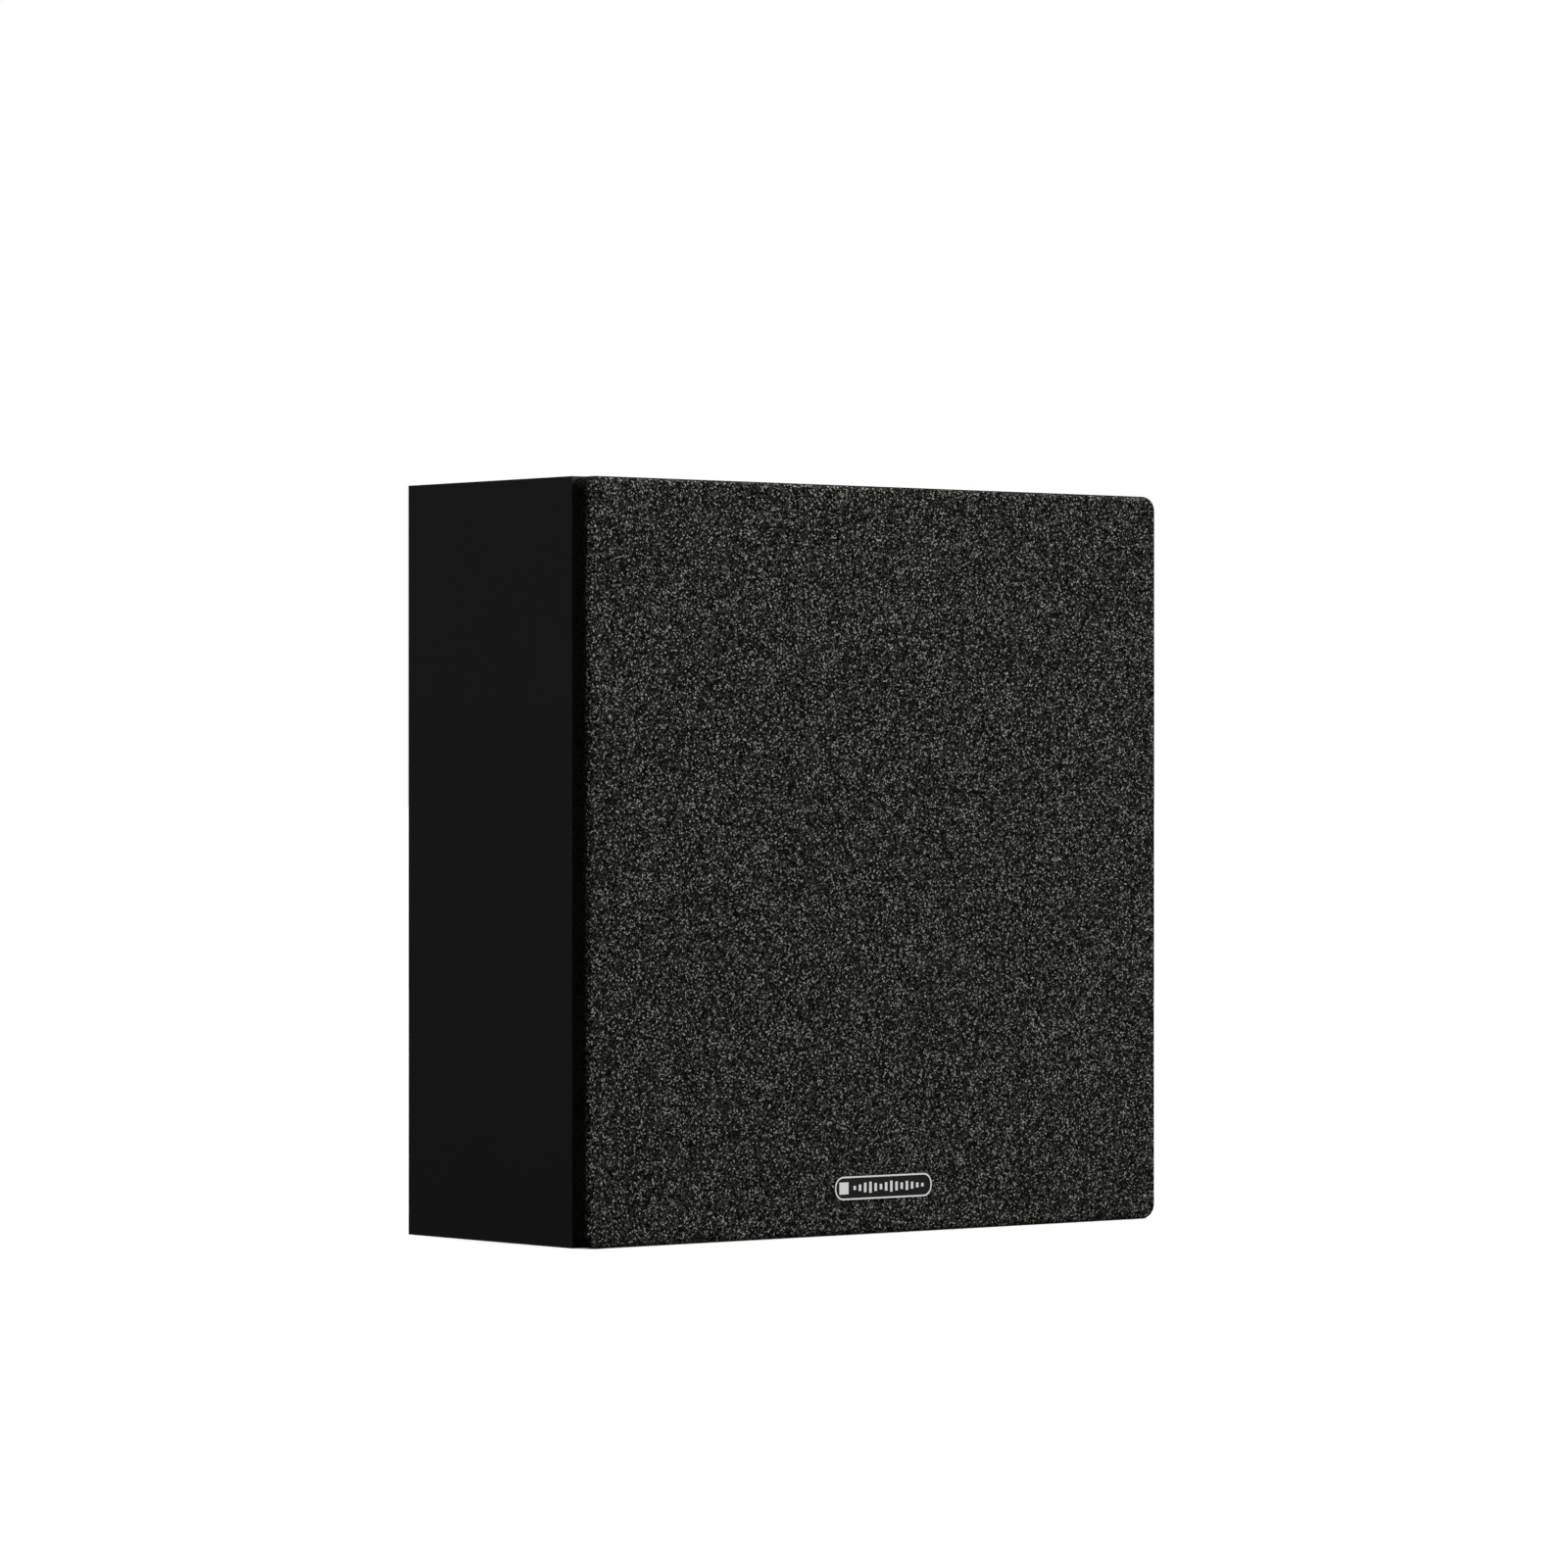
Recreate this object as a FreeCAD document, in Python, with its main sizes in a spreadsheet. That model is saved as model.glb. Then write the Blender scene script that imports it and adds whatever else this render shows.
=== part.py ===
import FreeCAD, Part
import math
import os
import re

import Sketcher
from FreeCAD import Rotation, Vector

# A shallow square box speaker that hangs on a wall or stands on a shelf: a mitred cabinet, a two-way
# pair of drivers, a cloth grille held by magnets, and binding posts in a recessed cup on the back.
# Millimetres. +X is to the right as the listener sees it, the listener is on the -Y side and +Z is up.
# The origin is at the middle of the base.

SIZES = [
    # overall
    ("overall_width", 300), ("overall_height", 300), ("overall_depth", 117.5),
    # cabinet boards
    ("wall_thickness", 15), ("baffle_thickness", 18), ("rear_thickness", 15),
    ("brace_thickness", 12), ("brace_rail", 24),
    ("wadding_thickness", 26), ("wadding_gap", 6), ("fit_gap", 0.4),
    # grille
    ("grille_depth", 9.5), ("grille_gap", 0.5), ("cloth_thickness", 0.6), ("grille_corner", 6),
    ("grille_edge", 3), ("grille_border", 20), ("window_corner", 30), ("cloth_turnover", 10),
    ("magnet_radius", 5), ("grille_magnet_depth", 3), ("baffle_magnet_depth", 4), ("magnet_inset", 24.5),
    ("badge_length", 51), ("badge_width", 9.4), ("badge_thickness", 0.5), ("badge_height", 18.9),
    ("badge_corner", 4.3), ("overcut", 1),
    # woofer frame and soft parts
    ("woofer_margin", 3), ("flange_radius", 83), ("flange_thickness", 4), ("screw_band", 6.7),
    ("seal_thickness", 1.5), ("cutout_play", 1.3), ("basket_play", 0.2), ("basket_skirt", 6),
    ("basket_wall", 2), ("basket_drop", 8.75), ("basket_windows", 6), ("coil_opening", 3.15),
    ("surround_recess", 1), ("surround_thickness", 0.9), ("surround_land", 6.4), ("roll_width", 9),
    ("spider_margin", 22.2), ("spider_land", 4.5), ("spider_drop", 5), ("spider_thickness", 0.5),
    ("spider_wave", 1.2), ("spider_neck", 2.5), ("spider_flat", 1.5), ("window_root", 0.3),
    ("window_tip", 0.36), ("window_crown", 0.93),
    # woofer cone and motor
    ("cone_play", 0.3), ("cone_land", 2.6), ("cone_depth", 19.5), ("cone_thickness", 1),
    ("cap_radius", 24), ("cap_rise", 7), ("cap_thickness", 0.8),
    ("former_radius", 15.85), ("former_thickness", 0.3), ("former_nose", 1), ("former_tail", 0.5),
    ("coil_thickness", 0.5), ("coil_length", 12), ("coil_clearance", 0.4), ("pole_clearance", 0.35),
    ("leg_lean", 5), ("plate_thickness", 6), ("magnet_overhang", 5), ("magnet_opening", 7.65),
    ("magnet_thickness", 17), ("yoke_overhang", 2), ("yoke_thickness", 6), ("yoke_vent", 5),
    ("strip_width", 22), ("strip_lap", 1.5), ("strip_height", 10), ("strip_thickness", 2),
    ("tag_spacing", 13), ("tag_width", 3.2), ("tag_thickness", 0.8), ("tag_lap", 6.5), ("tag_reach", 5.5),
    # tweeter
    ("driver_gap", 6), ("faceplate_radius", 44), ("faceplate_thickness", 4), ("tweeter_play", 3),
    ("guide_mouth", 27), ("guide_throat", 17.2), ("guide_depth", 2), ("dome_radius", 12.7),
    ("dome_rise", 3.6), ("dome_thickness", 0.3), ("soft_land", 0.6), ("soft_thickness", 0.35),
    ("soft_roll", 3.2), ("soft_edge", 2.7), ("tweeter_coil_wall", 0.4), ("tweeter_coil_length", 6.2),
    ("tweeter_gap", 0.3), ("tweeter_plate_radius", 30), ("tweeter_plate", 3), ("tweeter_magnet_radius", 32),
    ("tweeter_magnet_bore", 16), ("tweeter_magnet", 8), ("chamber_radius", 22), ("chamber_depth", 12),
    ("chamber_wall", 1.5), ("guard_radius", 19), ("guard_rise", 5.2), ("guard_thickness", 0.6),
    ("guard_hole", 1.4), ("guard_ring", 4.5), ("tweeter_tag", 26), ("tweeter_tag_length", 7),
    ("tag_foot", 1.5), ("tag_foot_width", 5), ("tag_foot_height", 8),
    # driver screws
    ("tweeter_screw_inset", 4.5), ("driver_head", 2.9), ("driver_head_depth", 2), ("head_sink", 0.1),
    ("driver_shank", 1.8), ("driver_screw", 15),
    # terminal cup and binding posts
    ("cup_height", 238), ("cup_flange_width", 110), ("cup_flange_height", 76), ("cup_flange", 3),
    ("cup_seal", 1), ("cup_width", 90), ("cup_opening", 56), ("cup_depth", 20), ("cup_wall", 2),
    ("cup_corner", 6), ("cup_screw_x", 50), ("cup_screw_z", 33), ("post_spacing", 19), ("post_radius", 3),
    ("post_bore", 2), ("post_bore_depth", 10), ("collar_radius", 7), ("collar_thickness", 3),
    ("post_tail", 12), ("post_length", 15), ("washer_radius", 6.5), ("washer_thickness", 1),
    ("cap_gap", 0.3), ("binding_cap_radius", 7.5), ("binding_cap_length", 11), ("thread_clearance", 0.06),
    ("nut_width", 8), ("nut_thickness", 4), ("knurl_depth", 0.5), ("knurl_land", 1.5),
    ("knurls", 18),
    # wall hangers
    ("hanger_x", 100), ("hanger_height", 256), ("hanger_width", 22), ("hanger_length", 46),
    ("hanger_thickness", 2), ("hanger_eye", 5), ("hanger_slot", 2.5), ("hanger_drop", 14),
    ("hanger_pocket", 9), ("hanger_screw_z", 18), ("pocket_play", 1), ("hanger_head_depth", 1.2),
    # crossover
    ("board_width", 150), ("board_height", 84), ("board_thickness", 1.6), ("board_middle", 74),
    ("standoff", 6), ("standoff_radius", 4), ("board_screw_x", 68), ("board_screw_z", 35),
    ("choke_radius", 17), ("choke_bore", 7), ("choke_length", 14), ("resistor_width", 9),
    ("resistor_height", 22), ("resistor_depth", 8), ("board_grip", 9),
    # leads and small screws
    ("lead_radius", 1.2), ("lead_gap", 0.1), ("small_shank", 1.5), ("small_head", 2.8),
    ("small_head_depth", 1.6), ("screw_skin", 1.5),
]

# Places that follow from the sizes. Each is a distance from the origin along one axis.
PLACES = {
    "cloth_face": "-overall_depth / 2 + badge_thickness",
    "grille_back": "cloth_face + grille_depth",
    "front_plane": "grille_back + grille_gap",
    "back_plane": "overall_depth / 2",
    "baffle_back": "front_plane + baffle_thickness",
    "rear_front": "back_plane - rear_thickness",
    "screw_tip": "rear_front + screw_skin",
    "inner_half": "overall_width / 2 - wall_thickness",
    "inner_top": "overall_height - wall_thickness",
    "bay_width": "(2 * inner_half - 4 * brace_rail) / 3",
    "side_bay": "bay_width / 2 + brace_rail",
    "woofer_height": "wall_thickness + woofer_margin + flange_radius",
    "tweeter_height": "woofer_height + flange_radius + driver_gap + faceplate_radius",
    "brace_height": "woofer_height + flange_radius",
    "strip_seat": "ledge_plane + basket_wall",
    "strip_back": "strip_seat + strip_thickness",
    "strip_foot": "woofer_height + spider_outer - strip_lap",
    "strip_top": "strip_foot + strip_height",
    "woofer_tag_end": "strip_top + tag_reach",
    "step_radius": "flange_radius - screw_band",
    "roll_outer": "step_radius - fit_gap - surround_land",
    "roll_inner": "roll_outer - roll_width",
    "cone_rim_radius": "roll_inner - cone_play",
    "basket_bore": "roll_outer + basket_play",
    "basket_hole": "coil_radius + coil_opening",
    "woofer_cutout": "basket_bore + basket_wall + cutout_play",
    "woofer_screw_circle": "flange_radius - screw_band / 2",
    "tweeter_screw_circle": "faceplate_radius - tweeter_screw_inset",
    "tweeter_cutout": "tweeter_magnet_radius + tweeter_play",
    "spider_outer": "basket_bore - spider_margin",
    "ledge_radius": "spider_outer - spider_land + basket_wall",
    "plate_radius": "ledge_radius - leg_lean",
    "magnet_outer": "plate_radius + magnet_overhang",
    "yoke_radius": "plate_radius + yoke_overhang",
    "magnet_inner": "coil_radius + magnet_opening",
    "roll_plane": "front_plane + surround_recess",
    "roll_lip": "roll_plane - surround_thickness",
    "flange_back": "front_plane + flange_thickness",
    "cone_neck": "roll_plane + cone_depth",
    "cone_slope": "cone_depth / (cone_rim_radius - cone_land - former_radius)",
    "spider_plane": "cone_neck + spider_drop",
    "ledge_plane": "spider_plane + spider_thickness / 2",
    "basket_end": "spider_plane + basket_drop",
    "plate_back": "basket_end + plate_thickness",
    "magnet_back": "plate_back + magnet_thickness",
    "yoke_back": "magnet_back + yoke_thickness",
    "coil_front": "basket_end + plate_thickness / 2 - coil_length / 2",
    "coil_radius": "former_radius + coil_thickness",
    "dome_plane": "front_plane + faceplate_thickness",
    "tweeter_plate_front": "dome_plane + soft_land",
    "tweeter_magnet_front": "tweeter_plate_front + tweeter_plate",
    "tweeter_yoke_front": "tweeter_magnet_front + tweeter_magnet",
    "chamber_front": "tweeter_yoke_front + tweeter_plate",
    "chamber_back": "chamber_front + chamber_depth",
    "guide_slope": "guide_depth / (guide_mouth - guide_throat)",
    "guard_plane": "front_plane + (guide_mouth - guard_radius) * guide_slope",
    "cup_floor": "back_plane - cup_depth",
    "cup_bottom": "cup_floor - cup_wall",
    "collar_back": "cup_floor + collar_thickness",
    "post_end": "collar_back + post_length",
    "post_start": "cup_bottom - post_tail",
    "washer_front": "collar_back + cap_gap",
    "cap_front": "washer_front + washer_thickness + cap_gap",
    "board_back": "rear_front - standoff",
    "board_front": "board_back - board_thickness",
    "board_top": "board_middle + board_height / 2",
}

doc = FreeCAD.newDocument("square_box_speaker")
sheet = doc.addObject("Spreadsheet::Sheet", "Sizes")
for row, (size_name, size) in enumerate(SIZES, start=1):
    sheet.set(f"A{row}", size_name.replace("_", " "))
    sheet.set(f"B{row}", str(size))
    sheet.setAlias(f"B{row}", size_name)
doc.recompute()
NAMES = {size_name for size_name, _ in SIZES}
WORD = r"[a-z_]+"
subparts = []


def spell(text):
    """Write a sum out in full: places become their own sums, and sizes are read from the sheet."""
    while any(word in PLACES for word in re.findall(WORD, text)):
        text = re.sub(WORD, lambda found: f"({PLACES[found[0]]})" if found[0] in PLACES else found[0], text)
    return re.sub(WORD, lambda found: f"Sizes.{found[0]}" if found[0] in NAMES else found[0], text)


def value(text):
    """The present value of a sum in millimetres."""
    return float(sheet.evalExpression(spell(text)))


# ---------------------------------------------------------------- sketches and features

def new_body(label, x="0", y="0", z="0", kept=True):
    """A sub-part of its own, placed by the sheet."""
    body = doc.addObject("PartDesign::Body", label)
    body.Label = label
    for axis, text in zip("xyz", (x, y, z)):
        body.setExpression(f"Placement.Base.{axis}", spell(text))
    if kept:
        subparts.append(body)
    return body


def origin_plane(body, role):
    return [feature for feature in body.Origin.OriginFeatures if feature.Role == role][0]


def new_sketch(body, role, offset="0"):
    """A sketch on one of the body's own origin planes, moved off it by the offset."""
    sketch = body.newObject("Sketcher::SketchObject", f"{body.Name}_sketch")
    sketch.AttachmentSupport = [(origin_plane(body, role), "")]
    sketch.MapMode = "FlatFace"
    sketch.setExpression("AttachmentOffset.Base.z", spell(offset))
    return sketch


def facing_sketch(body, depth):
    """A sketch seen from the front (X across, Z up) that lies at the given Y."""
    return new_sketch(body, "XZ_Plane", f"-({depth})")


def fix(sketch, kind, geometry, point, text):
    """Hold one point's distance from the sketch origin to a sum of sizes."""
    constraint = Sketcher.Constraint(kind, -1, 1, geometry, point, value(text))
    index = sketch.addConstraint(constraint)
    sketch.setExpression(f"Constraints[{index}]", spell(text))


def arc_between(start, end, axis, centre, turn):
    """An arc from start to end whose centre has one known coordinate; turn is 1 for anticlockwise."""
    middle = (start + end) * 0.5
    across = Vector(start.y - end.y, end.x - start.x, 0)
    step = (centre - middle[axis]) / across[axis]
    hub = middle + across * step
    radius = (start - hub).Length
    halfway = Vector(end.y - start.y, start.x - end.x, 0).normalize() * radius * turn
    arc = Part.Arc(start, hub + halfway, end)
    return arc


def trace(sketch, points):
    """A closed outline. A point is (first, second), or has a third entry that makes the stretch to the
    next point an arc: (0 or 1, the centre's first or second coordinate, 1 or -1 for its turn)."""
    corners = [Vector(value(point[0]), value(point[1]), 0) for point in points]
    base = sketch.GeometryCount
    ends = []
    for index, point in enumerate(points):
        start = corners[index]
        end = corners[(index + 1) % len(points)]
        if len(point) == 3:
            axis, centre, turn = point[2]
            sketch.addGeometry(arc_between(start, end, axis, value(centre), turn))
            ends.append((1, 2) if turn > 0 else (2, 1))
        else:
            sketch.addGeometry(Part.LineSegment(start, end))
            ends.append((1, 2))
    for index, point in enumerate(points):
        after = (index + 1) % len(points)
        sketch.addConstraint(
            Sketcher.Constraint("Coincident", base + index, ends[index][1], base + after, ends[after][0]))
        fix(sketch, "DistanceX", base + index, ends[index][0], point[0])
        fix(sketch, "DistanceY", base + index, ends[index][0], point[1])
        if len(point) == 3:
            axis, centre, _ = point[2]
            fix(sketch, ("DistanceX", "DistanceY")[axis], base + index, 3, centre)


def box_outline(sketch, left, bottom, right, top):
    trace(sketch, [(left, bottom), (right, bottom), (right, top), (left, top)])


def round_box_outline(sketch, left, bottom, right, top, corner):
    """A box outline whose four corners are rounded."""
    inner_left, inner_right = f"{left} + {corner}", f"{right} - ({corner})"
    inner_bottom, inner_top = f"{bottom} + {corner}", f"{top} - ({corner})"
    trace(sketch, [
        (inner_left, bottom), (inner_right, bottom, (0, inner_right, 1)),
        (right, inner_bottom), (right, inner_top, (0, inner_right, 1)),
        (inner_right, top), (inner_left, top, (0, inner_left, 1)),
        (left, inner_top), (left, inner_bottom, (0, inner_left, 1)),
    ])


def circle(sketch, first, second, radius):
    index = sketch.addGeometry(
        Part.Circle(Vector(value(first), value(second), 0), Vector(0, 0, 1), value(radius)))
    fix(sketch, "DistanceX", index, 3, first)
    fix(sketch, "DistanceY", index, 3, second)
    held = sketch.addConstraint(Sketcher.Constraint("Radius", index, value(radius)))
    sketch.setExpression(f"Constraints[{held}]", spell(radius))


def pad(body, sketch, length):
    """Thicken a sketch along its normal, which is -Y for a facing sketch."""
    feature = body.newObject("PartDesign::Pad", f"{body.Name}_pad")
    feature.Profile = sketch
    feature.setExpression("Length", spell(length))
    body.Tip = feature
    return feature


def pocket(body, sketch, length, forwards=False):
    """Cut behind a facing sketch, towards +Y, or forwards towards -Y."""
    feature = body.newObject("PartDesign::Pocket", f"{body.Name}_pocket")
    feature.Profile = sketch
    feature.setExpression("Length", spell(length))
    feature.Reversed = forwards
    body.Tip = feature
    return feature


def round_places(count, ring, start=0, x="0", z="0"):
    """Places evenly round a circle, the first one at the start angle in degrees."""
    angles = [start + 360 * number / count for number in range(count)]
    return [(f"{x} + {ring} * cos({angle})", f"{z} + {ring} * sin({angle})") for angle in angles]


def corner_places(half_x, half_z, z="0"):
    """The four corners of a rectangle round x = 0 and the given height."""
    return [(f"{side} * ({half_x})", f"{z} + {end} * ({half_z})") for side in (-1, 1) for end in (-1, 1)]


def studs(body, places, radius, front, length):
    """Round bars along Y at each place, from the front to front + length."""
    sketch = facing_sketch(body, f"{front} + {length}")
    for first, second in places:
        circle(sketch, first, second, radius)
    return pad(body, sketch, length)


def drill(body, places, radius, front, depth):
    """Round holes along Y at each place, from the front to front + depth."""
    sketch = facing_sketch(body, front)
    for first, second in places:
        circle(sketch, first, second, radius)
    return pocket(body, sketch, depth)


def board(label, left, bottom, right, top, front, thickness, kept=True):
    """A flat board that faces the listener."""
    body = new_body(label, kept=kept)
    sketch = facing_sketch(body, f"{front} + {thickness}")
    box_outline(sketch, left, bottom, right, top)
    pad(body, sketch, thickness)
    return body


def turned(label, points, x="0", z="0"):
    """A piece turned about an axis along Y at the given x and z. Its points are (y, radius)."""
    body = new_body(label, x=x, z=z)
    sketch = new_sketch(body, "YZ_Plane")
    trace(sketch, points)
    feature = body.newObject("PartDesign::Revolution", f"{label}_turned")
    feature.Profile = sketch
    feature.ReferenceAxis = (sketch, ["H_Axis"])
    feature.Angle = 360
    body.Tip = feature
    return body


def tube(label, front, back, inner, outer, x="0", z="0"):
    """A plain ring or sleeve between two depths."""
    return turned(label, [(front, inner), (front, outer), (back, outer), (back, inner)], x=x, z=z)


def round_edges(body, chosen, radius):
    """Round the edges of the body's present shape that the test picks."""
    doc.recompute()
    base = body.Tip
    names = [f"Edge{number}" for number, edge in enumerate(base.Shape.Edges, start=1) if chosen(edge)]
    feature = body.newObject("PartDesign::Fillet", f"{body.Name}_fillet")
    feature.Base = (base, names)
    feature.setExpression("Radius", spell(radius))
    body.Tip = feature
    return feature


def is_along_y(edge):
    ends = [vertex.Point for vertex in edge.Vertexes]
    return len(ends) == 2 and abs((ends[1] - ends[0]).y) > 0.99 * edge.Length


def lies_at(depth):
    """A test for edges that lie wholly at one depth."""
    place = value(depth)
    return lambda edge: all(abs(vertex.Point.y - place) < 0.001 for vertex in edge.Vertexes)


def repeat_round(body, feature, times):
    """Repeat a feature round the body's own Y axis."""
    doc.recompute()
    pattern = body.newObject("PartDesign::PolarPattern", f"{body.Name}_pattern")
    pattern.Originals = [feature]
    pattern.Axis = (origin_plane(body, "Y_Axis"), [""])
    pattern.Angle = 360
    pattern.setExpression("Occurrences", spell(times))
    body.Tip = pattern


# ---------------------------------------------------------------- cabinet

def make_walls():
    """Four mitred boards round the box, from the front plane to the back plane."""
    half, top, wall = "overall_width / 2", "overall_height", "wall_thickness"
    outlines = {
        "side_panel_left": [(f"-{half}", "0"), ("-inner_half", wall), ("-inner_half", "inner_top"),
                            (f"-{half}", top)],
        "side_panel_right": [(half, "0"), (half, top), ("inner_half", "inner_top"), ("inner_half", wall)],
        "bottom_panel": [(f"-{half}", "0"), (half, "0"), ("inner_half", wall), ("-inner_half", wall)],
        "top_panel": [(f"-{half}", top), ("-inner_half", "inner_top"), ("inner_half", "inner_top"),
                      (half, top)],
    }
    for label, outline in outlines.items():
        body = new_body(label)
        sketch = facing_sketch(body, "back_plane")
        trace(sketch, outline)
        pad(body, sketch, "back_plane - front_plane")


WOOFER_SCREWS = round_places(6, "woofer_screw_circle", z="woofer_height")
TWEETER_SCREWS = round_places(4, "tweeter_screw_circle", start=45, z="tweeter_height")
GRILLE_MAGNETS = corner_places("overall_width / 2 - magnet_inset", "overall_height / 2 - magnet_inset",
                               z="overall_height / 2")


def make_baffle():
    """The front board: a stepped hole for each driver, pilot holes, and four blind holes for magnets."""
    body = board("baffle", "-inner_half", "wall_thickness", "inner_half", "inner_top", "front_plane",
                 "baffle_thickness")
    woofer, tweeter = [("0", "woofer_height")], [("0", "tweeter_height")]
    drill(body, woofer, "flange_radius + fit_gap", "front_plane", "flange_thickness + seal_thickness")
    drill(body, woofer, "woofer_cutout", "front_plane", "baffle_thickness")
    drill(body, tweeter, "faceplate_radius + fit_gap", "front_plane", "faceplate_thickness")
    drill(body, tweeter, "tweeter_cutout", "front_plane", "baffle_thickness")
    drill(body, WOOFER_SCREWS + TWEETER_SCREWS, "driver_shank", "front_plane",
          "driver_head_depth + driver_screw")
    drill(body, GRILLE_MAGNETS, "magnet_radius", "front_plane", "baffle_magnet_depth")


HANGERS = [("-hanger_x", "hanger_height"), ("hanger_x", "hanger_height")]
HANGER_SCREWS = [(x, f"{z} + {end} * hanger_screw_z") for x, z in HANGERS for end in (-1, 1)]
CUP_SCREWS = corner_places("cup_screw_x", "cup_screw_z", z="cup_height")
BOARD_SCREWS = corner_places("board_screw_x", "board_screw_z", z="board_middle")


def make_rear_panel():
    """The back board: a stepped hole for the terminal cup, and a recess and a pocket for each hanger."""
    body = board("rear_panel", "-inner_half", "wall_thickness", "inner_half", "inner_top", "rear_front",
                 "rear_thickness")
    recess = facing_sketch(body, "back_plane - cup_flange - cup_seal")
    round_box_outline(recess, "-cup_flange_width / 2 - fit_gap",
                      "cup_height - cup_flange_height / 2 - fit_gap", "cup_flange_width / 2 + fit_gap",
                      "cup_height + cup_flange_height / 2 + fit_gap", "cup_corner + fit_gap")
    pocket(body, recess, "cup_flange + cup_seal")
    hole = facing_sketch(body, "rear_front")
    half_width = "(cup_width / 2 + cup_wall + fit_gap)"
    half_height = "(cup_opening / 2 + cup_wall + fit_gap)"
    box_outline(hole, f"-{half_width}", f"cup_height - {half_height}", half_width,
                f"cup_height + {half_height}")
    pocket(body, hole, "rear_thickness")
    for x, z in HANGERS:
        seat = facing_sketch(body, "back_plane - hanger_thickness")
        round_box_outline(seat, f"{x} - hanger_width / 2 - fit_gap", f"{z} - hanger_length / 2 - fit_gap",
                          f"{x} + hanger_width / 2 + fit_gap", f"{z} + hanger_length / 2 + fit_gap",
                          "hanger_eye + fit_gap")
        pocket(body, seat, "hanger_thickness")
        room = facing_sketch(body, "back_plane - hanger_thickness - hanger_pocket")
        box_outline(room, f"{x} - hanger_eye - pocket_play", f"{z} - hanger_drop / 2 - hanger_eye",
                    f"{x} + hanger_eye + pocket_play", f"{z} + hanger_drop / 2 + hanger_eye")
        pocket(body, room, "hanger_pocket")
    drill(body, HANGER_SCREWS + CUP_SCREWS, "small_shank", "screw_tip", "back_plane - screw_tip")
    drill(body, BOARD_SCREWS, "small_shank", "rear_front", "board_grip")


def make_brace():
    """A level board between the drivers that ties the baffle to the rear panel, with three openings."""
    body = new_body("cabinet_brace")
    sketch = new_sketch(body, "XY_Plane", "brace_height - brace_thickness / 2")
    box_outline(sketch, "-inner_half", "baffle_back", "inner_half", "rear_front")
    pad(body, sketch, "brace_thickness")
    top = new_sketch(body, "XY_Plane", "brace_height + brace_thickness / 2")
    for number in range(3):
        left = f"-inner_half + brace_rail + {number} * (bay_width + brace_rail)"
        box_outline(top, left, "baffle_back + brace_rail / 2", f"{left} + bay_width",
                    "rear_front - brace_rail / 2")
    pocket(body, top, "brace_thickness")


def make_wadding():
    """A pad of fibre in the upper half of the box, between the tweeter and the terminal cup."""
    board("wadding_pad", "-inner_half + wadding_gap", "brace_height + brace_thickness / 2 + wadding_gap",
          "inner_half - wadding_gap", "inner_top - wadding_gap", "chamber_back + wadding_gap",
          "wadding_thickness")


# ---------------------------------------------------------------- grille

def rounded_block(label, inset, front, back, corner, edge, kept=True):
    """A square block with round corners and a rounded front edge, inset from the overall outline."""
    body = board(label, f"-overall_width / 2 + {inset}", inset, f"overall_width / 2 - {inset}",
                 f"overall_height - {inset}", front, f"{back} - ({front})", kept=kept)
    round_edges(body, is_along_y, corner)
    round_edges(body, lies_at(front), edge)
    return body


def rounded_window(body, inset, corner, front, depth):
    """A square opening with round corners, cut from the front."""
    sketch = facing_sketch(body, front)
    round_box_outline(sketch, f"-overall_width / 2 + {inset}", inset, f"overall_width / 2 - {inset}",
                      f"overall_height - {inset}", corner)
    return pocket(body, sketch, depth)


def make_grille():
    """The grille: a moulded frame, the cloth that wraps it, its magnets and its badge."""
    skin = "cloth_thickness"
    frame_back = "grille_back - cloth_thickness"
    frame = rounded_block("grille_frame", skin, f"cloth_face + {skin}", frame_back,
                          f"grille_corner - {skin}", f"grille_edge - {skin}")
    rounded_window(frame, "grille_border", "window_corner", f"cloth_face + {skin}",
                   f"{frame_back} - cloth_face - {skin}")
    drill(frame, GRILLE_MAGNETS, "magnet_radius", f"{frame_back} - grille_magnet_depth",
          "grille_magnet_depth")

    outside = rounded_block("cloth_outside", "0", "cloth_face", "grille_back", "grille_corner",
                            "grille_edge", kept=False)
    inside = rounded_block("cloth_inside", skin, f"cloth_face + {skin}", frame_back,
                           f"grille_corner - {skin}", f"grille_edge - {skin}", kept=False)
    mouth = board("cloth_mouth", "-overall_width / 2 + cloth_turnover", "cloth_turnover",
                  "overall_width / 2 - cloth_turnover", "overall_height - cloth_turnover",
                  f"{frame_back} - overcut", "cloth_thickness + 2 * overcut", kept=False)
    hollow = doc.addObject("Part::Fuse", "cloth_hollow")
    hollow.Base = inside
    hollow.Tool = mouth
    cloth = doc.addObject("Part::Cut", "grille_cloth")
    cloth.Label = "grille_cloth"
    cloth.Base = outside
    cloth.Tool = hollow
    subparts.append(cloth)

    badge = board("grille_badge", "-badge_length / 2", "badge_height - badge_width / 2", "badge_length / 2",
                  "badge_height + badge_width / 2", "cloth_face - badge_thickness", "badge_thickness")
    round_edges(badge, is_along_y, "badge_corner")
    studs(new_body("grille_magnets"), GRILLE_MAGNETS, "magnet_radius",
          f"{frame_back} - grille_magnet_depth", "grille_magnet_depth")
    studs(new_body("baffle_magnets"), GRILLE_MAGNETS, "magnet_radius", "front_plane", "baffle_magnet_depth")


# ---------------------------------------------------------------- woofer

def cone_front(radius):
    """The depth of the cone's front face at a radius."""
    return f"cone_neck - ({radius} - former_radius) * cone_slope"


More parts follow.
